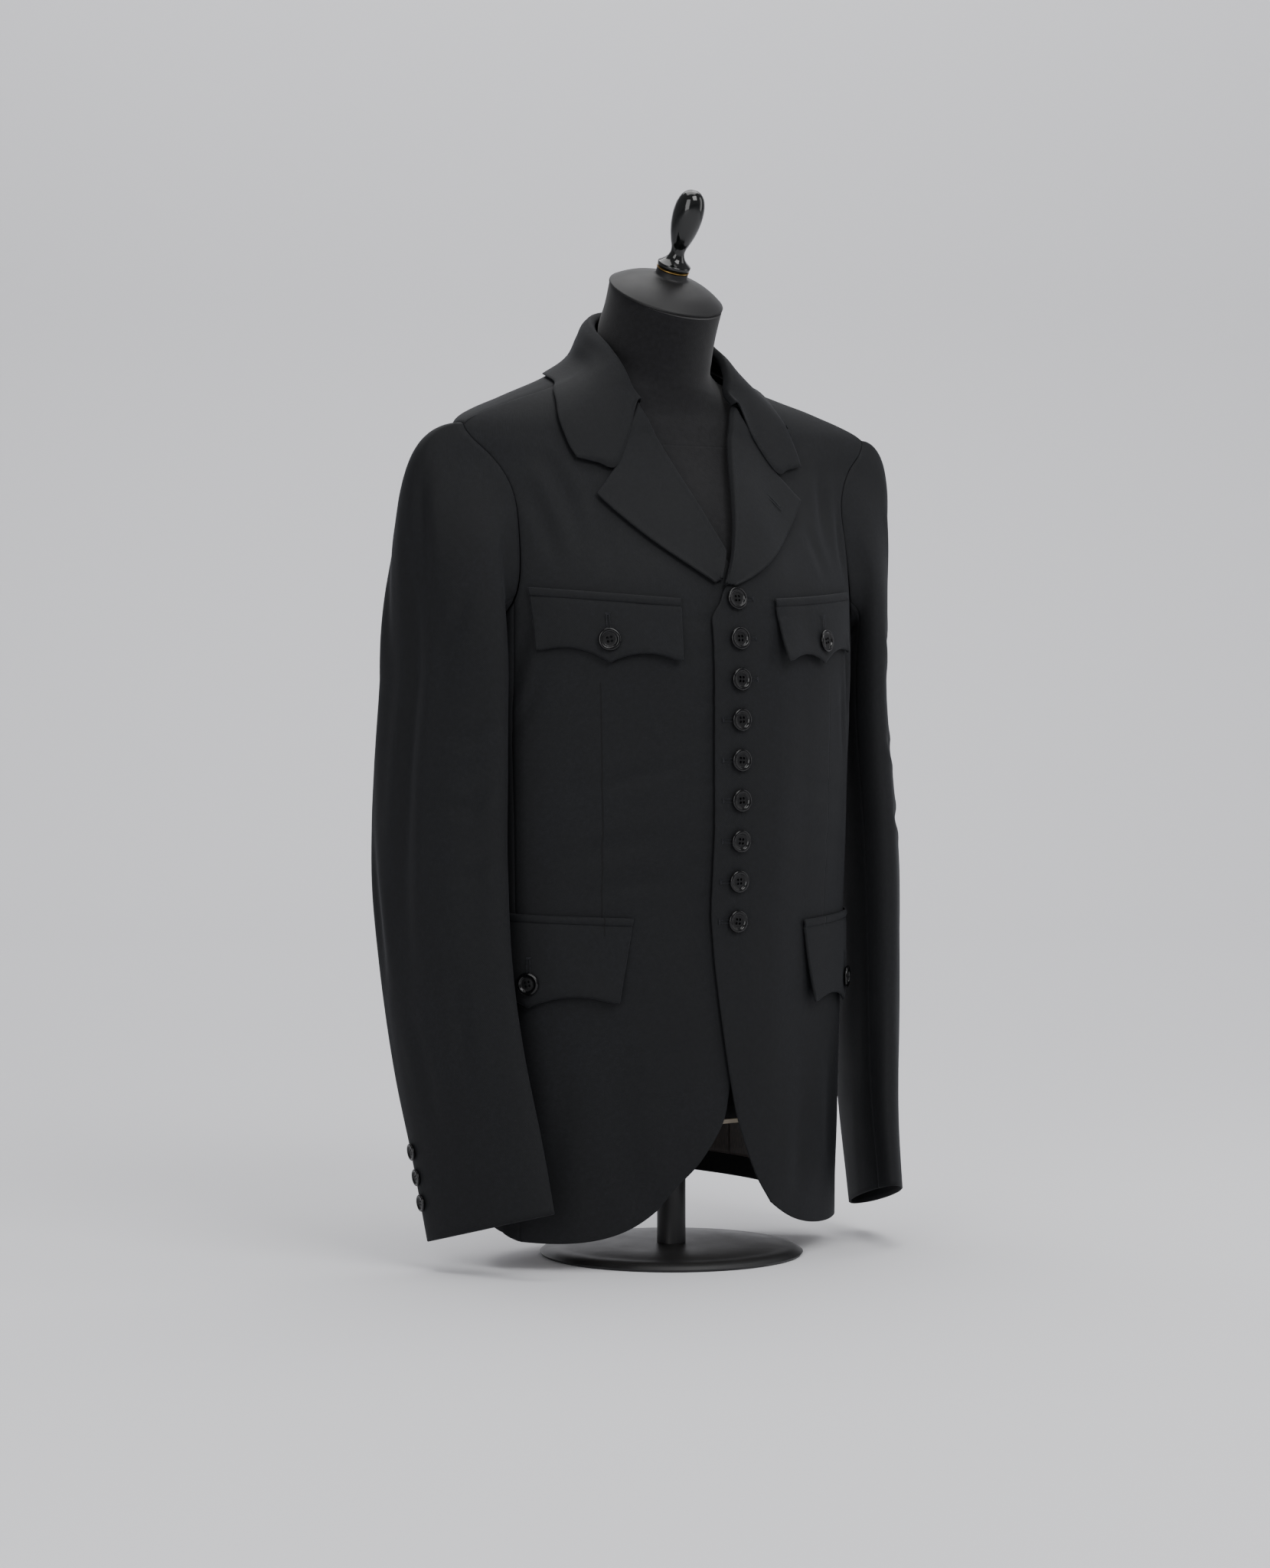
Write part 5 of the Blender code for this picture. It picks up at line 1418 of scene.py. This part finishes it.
BUTTON_RADIUS = 0.00975
CUFF_BUTTON_RADIUS = 0.0075
HOLE_RADIUS = 0.00115
HOLE_PLACE = 0.0023
DISH_RADIUS = 0.0058
BUTTON_SEAT = 0.0006


def button_blank(radius):
    """A button with its back on z = 0, with four holes cut through it."""
    k = radius / BUTTON_RADIUS
    rows = ((0.0, 0.0017), (0.0030, 0.0017), (0.0052, 0.0017), (0.0060, 0.0019),
            (0.0066, 0.0026), (0.0073, 0.0031), (0.0082, 0.0032), (0.0090, 0.0030),
            (0.0096, 0.0023), (0.00975, 0.0017), (0.0094, 0.0009), (0.0084, 0.0002),
            (0.0074, 0.0))
    profile = rounded([(r * k, h * k) for r, h in rows], 40) + [(0.0, 0.0)]
    points, faces = spun(profile, 48)
    blank = facing_out(plain_mesh("button_blank", points, faces, black_horn))
    drills = []
    for turn in range(4):
        a = math.pi / 4 + turn * math.pi / 2
        points, faces = spun([(0.0, 0.006 * k), (HOLE_RADIUS * k, 0.006 * k),
                              (HOLE_RADIUS * k, -0.003 * k), (0.0, -0.003 * k)], 14)
        drill = facing_out(plain_mesh("drill", points, faces, black_horn))
        drill.data.transform(Matrix.Translation((HOLE_PLACE * k * math.cos(a),
                                                 HOLE_PLACE * k * math.sin(a), 0)))
        cut = blank.modifiers.new("hole", "BOOLEAN")
        cut.operation, cut.solver, cut.object = "DIFFERENCE", "EXACT", drill
        drills.append(drill)
    graph = bpy.context.evaluated_depsgraph_get()
    mesh = bpy.data.meshes.new_from_object(blank.evaluated_get(graph))
    for thing in [blank, *drills]:
        bpy.data.objects.remove(thing, do_unlink=True)
    mesh.shade_smooth()
    mesh.set_sharp_from_angle(angle=math.radians(38))
    mesh.materials.clear()
    mesh.materials.append(black_horn)
    mesh.materials.append(dull_horn)
    for face in mesh.polygons:
        middle = face.center
        on_top = face.normal.z > 0.5 and middle.z > 0.001 * k
        face.material_index = int(on_top and math.hypot(middle.x, middle.y) < DISH_RADIUS * k)
    return mesh


BLANKS = {radius: button_blank(radius) for radius in (BUTTON_RADIUS, CUFF_BUTTON_RADIUS)}
print("faces of a button:", len(BLANKS[BUTTON_RADIUS].polygons))

# %% [markdown]
# Stitches are the kind of thing that Geometry Nodes do well: one short thread, repeated
# along a path at an even spacing. The tree below takes a path, resamples it, puts a thread
# across it at each point and makes the result real, because the export drops instances.


# %% A tree that sews along a path
def sewing_tree():
    tree = bpy.data.node_groups.new("sewing", "GeometryNodeTree")
    face = tree.interface
    face.new_socket("Path", in_out="INPUT", socket_type="NodeSocketGeometry")
    for name, value in (("Spacing", 0.0005), ("Thread Radius", 0.00022), ("Reach", 0.0012)):
        face.new_socket(name, in_out="INPUT", socket_type="NodeSocketFloat").default_value = value
    face.new_socket("Seed", in_out="INPUT", socket_type="NodeSocketInt").default_value = 3
    face.new_socket("Finish", in_out="INPUT", socket_type="NodeSocketMaterial")
    face.new_socket("Stitches", in_out="OUTPUT", socket_type="NodeSocketGeometry")
    given = node(tree, "NodeGroupInput").outputs
    curve = node(tree, "GeometryNodeMeshToCurve", inputs={"Mesh": given["Path"]})
    dense = node(tree, "GeometryNodeResampleCurve", {"mode": "LENGTH"}, {
        "Curve": curve.outputs["Curve"], "Length": given["Spacing"]})
    thread_line = node(tree, "GeometryNodeCurvePrimitiveLine", {"mode": "DIRECTION"}, {
        "Direction": (1.0, 0.0, 0.0), "Start": (0.0, 0.0, 0.0), "Length": given["Reach"]})
    round_it = node(tree, "GeometryNodeCurvePrimitiveCircle", {"mode": "RADIUS"}, {
        "Resolution": 6, "Radius": given["Thread Radius"]})
    thread_mesh = node(tree, "GeometryNodeCurveToMesh", inputs={
        "Curve": thread_line.outputs["Curve"], "Profile Curve": round_it.outputs["Curve"],
        "Fill Caps": True})
    tangent = node(tree, "GeometryNodeInputTangent").outputs["Tangent"]
    upright = node(tree, "FunctionNodeAlignEulerToVector", {"axis": "Y"}, {"Vector": tangent})
    wobble = node(tree, "FunctionNodeRandomValue", {"data_type": "FLOAT"}, {
        "Min": 0.86, "Max": 1.12, "Seed": given["Seed"]})
    size = wobble.outputs[1]
    sewn = node(tree, "GeometryNodeInstanceOnPoints", inputs={
        "Points": dense.outputs["Curve"], "Instance": thread_mesh.outputs["Mesh"],
        "Rotation": upright.outputs["Rotation"], "Scale": size})
    real = node(tree, "GeometryNodeRealizeInstances", inputs={
        "Geometry": sewn.outputs["Instances"]})
    finished = node(tree, "GeometryNodeSetMaterial", inputs={
        "Geometry": real.outputs["Geometry"], "Material": given["Finish"]})
    node(tree, "NodeGroupOutput", inputs={"Stitches": finished.outputs["Geometry"]})
    return tree


SEWING = sewing_tree()


def sew(name, path, finish, **sizes):
    """Runs the sewing tree on a flat path and returns the plain mesh of its stitches."""
    mesh = bpy.data.meshes.new(name)
    mesh.from_pydata([tuple(map(float, p)) for p in path], [
        (k, (k + 1) % len(path)) for k in range(len(path))], [])
    made = bpy.data.objects.new(name, mesh)
    bpy.context.scene.collection.objects.link(made)
    maker = made.modifiers.new("sewing", "NODES")
    maker.node_group = SEWING
    sockets = {item.name: item.identifier for item in SEWING.interface.items_tree
               if item.in_out == "INPUT"}
    for key, value in {**sizes, "Finish": finish}.items():
        maker[sockets[key.replace("_", " ")]] = value
    graph = bpy.context.evaluated_depsgraph_get()
    sewn = bpy.data.meshes.new_from_object(made.evaluated_get(graph))
    made.modifiers.remove(maker)
    made.data = sewn
    bpy.data.meshes.remove(mesh)
    return made


# %% Buttonholes and the buttons' threads
def buttonhole_mesh(length, half):
    """A slim oval of thread round the slit, with a bar at its outer end."""
    turns = np.linspace(0, 2 * math.pi, 72, endpoint=False)
    oval = [(length / 2 * math.cos(t), half * np.sign(math.sin(t)) * abs(math.sin(t)) ** 0.45, 0)
            for t in turns]
    hole = sew("buttonhole", oval, thread, Spacing=0.00036, Thread_Radius=0.00015, Reach=0.0009)
    bar = sew("bar", [(length / 2 + 0.0004, -half * 2.1, 0.0001),
                      (length / 2 + 0.0004, half * 2.1, 0.0001)], thread,
              Spacing=0.00036, Thread_Radius=0.00016, Reach=0.0009)
    return hole, bar


def join(name, things):
    """Joins sewn meshes into one object of thread."""
    tool = bmesh.new()
    for thing in things:
        tool.from_mesh(thing.data)
    mesh = bpy.data.meshes.new(name)
    tool.to_mesh(mesh)
    tool.free()
    mesh.materials.append(thread)
    mesh.shade_smooth()
    for thing in things:
        bpy.data.objects.remove(thing, do_unlink=True)
    made = bpy.data.objects.new(name, mesh)
    bpy.context.scene.collection.objects.link(made)
    return made


def cross_thread(radius):
    """The two bars of thread through a button's four holes."""
    k = radius / BUTTON_RADIUS
    bars = []
    for side in (-1, 1):
        rows = [(side * 0.00163 * k, y * 0.0016 * k, (0.0008 + 0.0004 * math.cos(y * 1.4)) * k)
                for y in np.linspace(-1, 1, 9)]
        bars.append(thread_tube("bar", rows, 0.00014))
    return join("cross", bars)


def thread_tube(name, path, radius, sides=7):
    """A closed round thread along a path of points."""
    path = np.array(path, float)
    tangent = unit(np.gradient(path, axis=0))
    side = unit(np.cross(tangent, [0.3, 0.5, 0.81]))
    other = np.cross(tangent, side)
    points = []
    for at, a, b in zip(path, side, other):
        for k in range(sides):
            turn = 2 * math.pi * k / sides
            points.append(at + radius * (a * math.cos(turn) + b * math.sin(turn)))
    return facing_out(plain_mesh(name, points, tube_faces(len(path), sides), thread))


CROSSES = {radius: cross_thread(radius) for radius in BLANKS}
HOLE = join("hole", buttonhole_mesh(0.0215, 0.0010))


def set_button(node_name, radius, place, outward, turn=0.0):
    """Sets a button and its thread on the cloth in the place of its solid."""
    made = bpy.data.objects.new(f"horn_{node_name}", BLANKS[radius].copy())
    cross = bpy.data.objects.new(f"thread_{node_name}", CROSSES[radius].data.copy())
    for thing in (made, cross):
        bpy.context.scene.collection.objects.link(thing)
        stand_at(thing, place, outward, turn)
        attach(thing, "root")
    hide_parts(node_name)


def set_buttonhole(name, place, outward, along):
    """Lays a buttonhole on the cloth: its length runs along the given direction."""
    outward, along = Vector(outward).normalized(), Vector(along)
    along = (along - outward * along.dot(outward)).normalized()
    across = outward.cross(along)
    made = bpy.data.objects.new(name, HOLE.data.copy())
    bpy.context.scene.collection.objects.link(made)
    turn = Matrix((along, across, outward)).transposed().to_4x4()
    made.data.transform(Matrix.Translation(Vector(place)) @ turn)
    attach(made, "root")


FRONT_BUTTONS = 9
TOP_BUTTON = 0.569
BUTTON_LINE = -0.0035
BUTTON_SPACING = 0.0342
HOLE_REACH = 0.0065
for k in range(FRONT_BUTTONS):
    height = TOP_BUTTON - BUTTON_SPACING * k
    angle = float(angle_at(BUTTON_LINE, height))
    outward = body_normal(angle, height)
    on = body_point(angle, height)
    lift = LAP_LIFT + float(relief(on))
    set_button(f"front_button_{k + 1}", BUTTON_RADIUS, on + outward * (lift + BUTTON_SEAT), outward,
               0.3 * math.sin(3.1 * k))
    reach = HOLE_REACH if k < 3 else -HOLE_REACH
    spot = float(angle_at(BUTTON_LINE + reach, height + 0.0003))
    hole_on = cloth_point(spot, height, LAP_LIFT + 0.0001)
    up = body_normal(spot, height)
    set_buttonhole(f"buttonhole_front_{k + 1}", hole_on + up * relief(hole_on), up,
                   (math.copysign(1, reach), 0, 0))

for pocket in POCKETS:
    name, side = pocket[:2]
    word = "left" if side > 0 else "right"
    down = pocket[6] + pocket[7] - BUTTON_ABOVE_POINT
    out = FLAP_REST + DOUBLE_WALL + float(flap_flare(pocket, 0.5, 0.80)) + 0.0008
    middle = np.array(0.5)
    place = flap_point(pocket, middle, np.array(down), out)
    outward = flap_point(pocket, middle, np.array(down), out + 0.01) - place
    set_button(f"{name}_flap_button_{word}", BUTTON_RADIUS, place, outward, 0.2)
    above = flap_point(pocket, middle, np.array(down - 0.0105), out - 0.0002)
    higher = flap_point(pocket, middle, np.array(down - 0.0205), out - 0.0002)
    set_buttonhole(f"buttonhole_{name}_{word}", above, outward, higher - above)

LAPEL_HOLE = ((0.0604, 0.6639), (0.0739, 0.6501))
ends = [lifted_point(1, x, height, 0.0042) for x, height in LAPEL_HOLE]
over = lifted_point(1, LAPEL_HOLE[0][0], LAPEL_HOLE[0][1], 0.0142) - ends[0]
set_buttonhole("buttonhole_lapel_left", (ends[0] + ends[1]) / 2, over, ends[0] - ends[1])

CUFF_BUTTONS = 3
CUFF_BUTTON_AROUND = 152.0
CUFF_BUTTON_LOW = 0.0700
CUFF_BUTTON_SPACING = 0.0202
for side, word in ((1, "left"), (-1, "right")):
    mirror = np.array([side, 1, 1])
    for k in range(CUFF_BUTTONS):
        height = CUFF_BUTTON_LOW + CUFF_BUTTON_SPACING * k
        along = 1.0 + (HEAD_END - height) / (HEAD_END - CUFF_HEIGHT)
        place, axis = sleeve_surface(np.array(CUFF_BUTTON_AROUND), np.array(along))
        set_button(f"cuff_button_{word}_{k + 1}", CUFF_BUTTON_RADIUS,
                   swung(place + axis * BUTTON_SEAT, side), axis * mirror, 0.4 * k)
for thing in [HOLE, *CROSSES.values()]:
    bpy.data.objects.remove(thing, do_unlink=True)

# %% [markdown]
# The form under the jacket is a padded shape covered with black cotton jersey. The knit
# clings to it, with one seam drawn across the chest, so it is one smooth lofted skin. Its
# neck is cut on a slant and closed with a lacquered wooden cap.


# %% Black cotton jersey
JERSEY_SEAM = 0.702


def jersey():
    made, tree, shader = new_finish(
        "black_cotton_jersey_knit", "#101012", 0.9, Sheen_Weight=0.12, Sheen_Roughness=0.5,
        Specular_IOR_Level=0.2)
    place = node(tree, "ShaderNodeTexCoord").outputs["Object"]
    knit = node(tree, "ShaderNodeTexVoronoi", inputs={"Vector": place, "Scale": 900.0})
    fuzz = noise(tree, place, 240.0, Detail=4.0)
    knitted = bump(tree, 0.25, 0.0003, knit.outputs["Distance"])
    height = node(tree, "ShaderNodeSeparateXYZ", inputs={"Vector": place}).outputs["Z"]
    off = node(tree, "ShaderNodeMapRange", inputs={
        "Value": height, "From Min": JERSEY_SEAM - 0.0012, "From Max": JERSEY_SEAM + 0.0012,
        "To Min": -1.0, "To Max": 1.0})
    near = node(tree, "ShaderNodeMath", {"operation": "ABSOLUTE"})
    tree.links.new(off.outputs["Result"], near.inputs[0])
    wire(tree, shader, Base_Color=ramp(tree, fuzz, ((0.3, "#0D0D0F"), (0.7, "#141416"))),
         Normal=bump(tree, 0.6, 0.0002, near.outputs[0], Normal=knitted))
    return made


black_jersey = jersey()

# %% Form sizes
FORM_BOTTOM = 0.124
NECK_LEAN = math.radians(27.0)
# Columns: height, ease
EASE_ROWS = (
    (0.100, 0.0150),
    (0.200, 0.0130),
    (0.300, 0.0095),
    (0.400, 0.0080),
    (0.500, 0.0070),
    (0.580, 0.0035),
    (0.650, 0.0034),
    (0.690, 0.0034),
    (0.712, 0.0016),
    (0.735, 0.0034),
    (0.800, 0.0038),
)
# Columns: height, centre y, radius
NECK_ROWS = (
    (0.7800, 0.0280, 0.0500),
    (0.7950, 0.0255, 0.0497),
    (0.8140, 0.0175, 0.0485),
    (0.8345, 0.0090, 0.0487),
)
FORM_SIDES = 192
FORM_ANGLES = np.linspace(-180.0, 180.0, FORM_SIDES, endpoint=False)


def form_ring(height, inset=0.0, level=None):
    ease = table_at(EASE_ROWS, height)[0]
    ring = body_point(FORM_ANGLES, height)
    ring = ring - body_normal(FORM_ANGLES, np.full(FORM_SIDES, height)) * (WALL + ease + inset)
    if level is not None:
        ring[:, 2] = level
    return ring


def neck_ring(row):
    height, centre_y, radius = row
    a = np.radians(FORM_ANGLES)
    y = -np.cos(a) * radius
    return np.stack([np.sin(a) * radius, centre_y + y, height + y * math.tan(NECK_LEAN)], axis=1)


# %% The jersey skin
heights = (0.128, 0.165, 0.230, 0.300, 0.370, 0.440, 0.510, 0.560, 0.595, 0.630, 0.662,
           0.686, 0.702, 0.715, 0.728, 0.742, 0.754, 0.763, 0.769)
rings = [form_ring(FORM_BOTTOM, 0.003, FORM_BOTTOM)] + [form_ring(h) for h in heights]
rings += [neck_ring(row) for row in NECK_ROWS]
skin = np.array(rings)
skin = np.concatenate([skin[:1], through(skin[1:], 150)])
count = len(skin)
torso = facing_out(plain_mesh("jersey_torso", skin.reshape(-1, 3),
                              tube_faces(count, FORM_SIDES), black_jersey))
torso.data.set_sharp_from_angle(angle=math.radians(50))
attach(torso, "root")
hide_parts("form_torso")
print("rings of the form:", count)


# %% [markdown]
# The cap, the knob, the stand and the plate are turned or cut from hard stock, so they are
# spun profiles again. Wood gets a satin or a gloss black lacquer and the stand black paint.


# %% Lacquer, brass, board and painted steel
def lacquer(name, hex_colour, low, high, **extra):
    made, tree, shader = new_finish(name, hex_colour, low, IOR=1.5, **extra)
    place = node(tree, "ShaderNodeTexCoord").outputs["Object"]
    haze = noise(tree, place, 55.0, Detail=5.0)
    wire(tree, shader, Roughness=between(tree, haze, low, high),
         Normal=bump(tree, 0.05, 0.0002, haze))
    return made


satin_lacquer = lacquer("black_satin_lacquered_wood", "#101011", 0.46, 0.58,
                        Specular_IOR_Level=0.3)
gloss_lacquer = lacquer("black_gloss_lacquered_wood", "#040605", 0.07, 0.15)
painted_steel = lacquer("black_painted_steel_plate", "#161617", 0.38, 0.52)
brass = lacquer("brushed_brass", "#9A7B45", 0.28, 0.40, Metallic=1.0)
bare_board = lacquer("pale_birch_board", "#B9AE9C", 0.60, 0.75)


def turned(name, node_name, profile, finish, place, axis, sides=96):
    points, faces = spun(profile, sides)
    made = facing_out(plain_mesh(name, points, faces, finish))
    made.data.set_sharp_from_angle(angle=math.radians(42))
    stand_at(made, place, axis)
    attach(made, "root")
    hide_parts(node_name)


# %% Cap, ring and knob
CAP_RADIUS = 0.0512
CAP_HEIGHT = 0.0235
RING_THICKNESS = 0.0012
FINIAL_HEIGHT = 0.0715
lean = np.array([0.0, -math.sin(NECK_LEAN), math.cos(NECK_LEAN)])
neck_top = np.array([0.0, NECK_ROWS[-1][1], NECK_ROWS[-1][0]])
cap_foot = neck_top + lean * SEAM_GAP
dome = rounded(((0.0165, 0.0172), (0.0270, 0.0142), (0.0380, 0.0100), (0.0465, 0.0052),
                (CAP_RADIUS - 0.0004, 0.0022)), 40)
turned("lacquered_cap", "neck_cap",
       [(0.0, CAP_HEIGHT), (0.0136, CAP_HEIGHT), (0.0140, CAP_HEIGHT - 0.0004), (0.0140, 0.0192),
        (0.0148, 0.0180), *dome, (CAP_RADIUS, 0.0016), (CAP_RADIUS, 0.0005),
        (CAP_RADIUS - 0.0015, 0.0), (0.0, 0.0)], satin_lacquer, cap_foot, lean)
ring_foot = cap_foot + lean * (CAP_HEIGHT + SEAM_GAP)
turned("brass_ring", "finial_ring",
       [(0.0, RING_THICKNESS), (0.0138, RING_THICKNESS), (0.0144, 0.0010), (0.0146, 0.0006),
        (0.0144, 0.0002), (0.0138, 0.0), (0.0, 0.0)], brass, ring_foot, lean)
FINIAL_ROWS = (
    (0.0, 1.000), (0.0052, 0.983), (0.0094, 0.930), (0.0121, 0.840), (0.0133, 0.720),
    (0.0130, 0.600), (0.0113, 0.460), (0.0087, 0.340), (0.0066, 0.255), (0.0062, 0.205),
    (0.0078, 0.140), (0.0118, 0.085), (0.0144, 0.060))
knob = rounded([(r, share * FINIAL_HEIGHT) for r, share in FINIAL_ROWS], 90)
knob[0] = (0.0, knob[0][1])
turned("lacquered_knob", "finial",
       [*knob, (0.0147, 0.0036), (0.0144, 0.0008), (0.0138, 0.0), (0.0, 0.0)],
       gloss_lacquer, ring_foot + lean * (RING_THICKNESS + SEAM_GAP), lean)

# %% Board, pole and plate
BOARD_THICKNESS = 0.0040
POLE_RADIUS = 0.0125
PLATE_RADIUS = 0.115
PLATE_HEIGHT = 0.009
board_top = FORM_BOTTOM - SEAM_GAP
board_low = board_top - BOARD_THICKNESS
board_rings = np.concatenate([form_ring(FORM_BOTTOM, 0.0046, board_low),
                              form_ring(FORM_BOTTOM, 0.0040, board_low + 0.0006),
                              form_ring(FORM_BOTTOM, 0.0022, board_top - 0.0006),
                              form_ring(FORM_BOTTOM, 0.0024, board_top)])
board = facing_out(plain_mesh("birch_board", board_rings, tube_faces(4, FORM_SIDES),
                              bare_board))
board.data.set_sharp_from_angle(angle=math.radians(40))
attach(board, "root")
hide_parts("form_bottom_board")
pole_top, pole_foot = board_low - SEAM_GAP, PLATE_HEIGHT + SEAM_GAP
turned("steel_pole", "pole",
       [(0.0, pole_top), (POLE_RADIUS, pole_top), (POLE_RADIUS, pole_foot + 0.001),
        (POLE_RADIUS, pole_foot), (0.0, pole_foot)], painted_steel, (0, 0, 0), (0, 0, 1))
turned("steel_plate", "foot_plate",
       [(0.0, PLATE_HEIGHT), *rounded(((0.016, PLATE_HEIGHT), (PLATE_RADIUS * 0.82,
        PLATE_HEIGHT * 0.86), (PLATE_RADIUS * 0.97, PLATE_HEIGHT * 0.55),
        (PLATE_RADIUS, PLATE_HEIGHT * 0.25)), 30), (PLATE_RADIUS * 0.985, 0.0), (0.0, 0.0)],
       painted_steel, (0, 0, 0), (0, 0, 1))

# %% [markdown]
# The picture is a plain studio one: a pale sweep from floor to wall, a broad soft key light
# from the front right, weaker ones from the front left, the right side and above, one more
# on the wall, and a camera level with the middle of the jacket.


# %% Stage
def paper():
    made, tree, shader = new_finish("pale_grey_paper", "#D6D6D9", 0.95, Specular_IOR_Level=0.1)
    place = node(tree, "ShaderNodeTexCoord").outputs["Object"]
    wire(tree, shader, Normal=bump(tree, 0.03, 0.0003, noise(tree, place, 300.0)))
    return made


# The sweep is seen along the camera's own direction, so the wall is square to the view
CAMERA_TURN = math.radians(34.0)
CAMERA_LENS = 87.01
CAMERA_AWAY = 3.3
CAMERA_SHIFT = 0.0317
CAMERA_HEIGHT = 0.496
CAMERA_TILT = 88.5
AHEAD = Vector((math.sin(CAMERA_TURN), math.cos(CAMERA_TURN), 0.0))
RIGHT = Vector((math.cos(CAMERA_TURN), -math.sin(CAMERA_TURN), 0.0))
WALL_FOOT = 4.2
SWEEP_BEND = 1.4
sweep_rows = [(-9.0, 0.0), (WALL_FOOT, 0.0)]
sweep_rows += [(WALL_FOOT + SWEEP_BEND * math.sin(a), SWEEP_BEND - SWEEP_BEND * math.cos(a))
               for a in np.linspace(0, math.pi / 2, 24)[1:]]
sweep_rows += [(WALL_FOOT + SWEEP_BEND, 9.0)]
points = []
for ahead, up in sweep_rows:
    for across in (-10.0, 10.0):
        points.append(AHEAD * ahead + RIGHT * across + Vector((0, 0, up)))
faces = [(2 * k, 2 * k + 1, 2 * k + 3, 2 * k + 2) for k in range(len(sweep_rows) - 1)]
sweep = plain_mesh("paper_sweep", points, faces, paper())


# %% Lights and camera
def soft_light(name, place, target, size, power):
    light = bpy.data.lights.new(name, "AREA")
    light.shape, light.size, light.size_y, light.energy = "RECTANGLE", size[0], size[1], power
    made = bpy.data.objects.new(name, light)
    made.location = place
    made.rotation_mode = "QUATERNION"
    made.rotation_quaternion = (Vector(target) - Vector(place)).to_track_quat("-Z", "Y")
    bpy.context.scene.collection.objects.link(made)


CENTRE = Vector((0, 0, 0.50))
soft_light("key", CENTRE - AHEAD * 2.0 + RIGHT * 1.4 + Vector((0, 0, 2.0)), CENTRE,
           (1.6, 1.6), 58)
soft_light("fill", CENTRE - AHEAD * 2.6 - RIGHT * 1.0 + Vector((0, 0, 0.6)), CENTRE,
           (1.4, 2.0), 34)
soft_light("side", CENTRE + AHEAD * 0.2 + RIGHT * 2.4 + Vector((0, 0, 0.7)), CENTRE,
           (0.9, 2.0), 12)
soft_light("top", CENTRE + AHEAD * 0.2 + Vector((0, 0, 2.3)), CENTRE, (2.0, 2.0), 46)
soft_light("backdrop", CENTRE + AHEAD * 3.0 + Vector((0, 0, 4.2)),
           CENTRE + AHEAD * 5.6 + Vector((0, 0, 1.0)), (6.0, 1.5), 235)
world = bpy.data.worlds.new("studio")
world.use_nodes = True
world.node_tree.nodes["Background"].inputs["Color"].default_value = linear("#D8D8DC")
world.node_tree.nodes["Background"].inputs["Strength"].default_value = 0.50
bpy.context.scene.world = world

camera_data = bpy.data.cameras.new("camera")
camera_data.lens = CAMERA_LENS
camera = bpy.data.objects.new("camera", camera_data)
camera.location = -AHEAD * CAMERA_AWAY - RIGHT * CAMERA_SHIFT + Vector((0, 0, CAMERA_HEIGHT))
camera.rotation_euler = (math.radians(CAMERA_TILT), 0.0, -CAMERA_TURN)
bpy.context.scene.collection.objects.link(camera)
bpy.context.scene.camera = camera
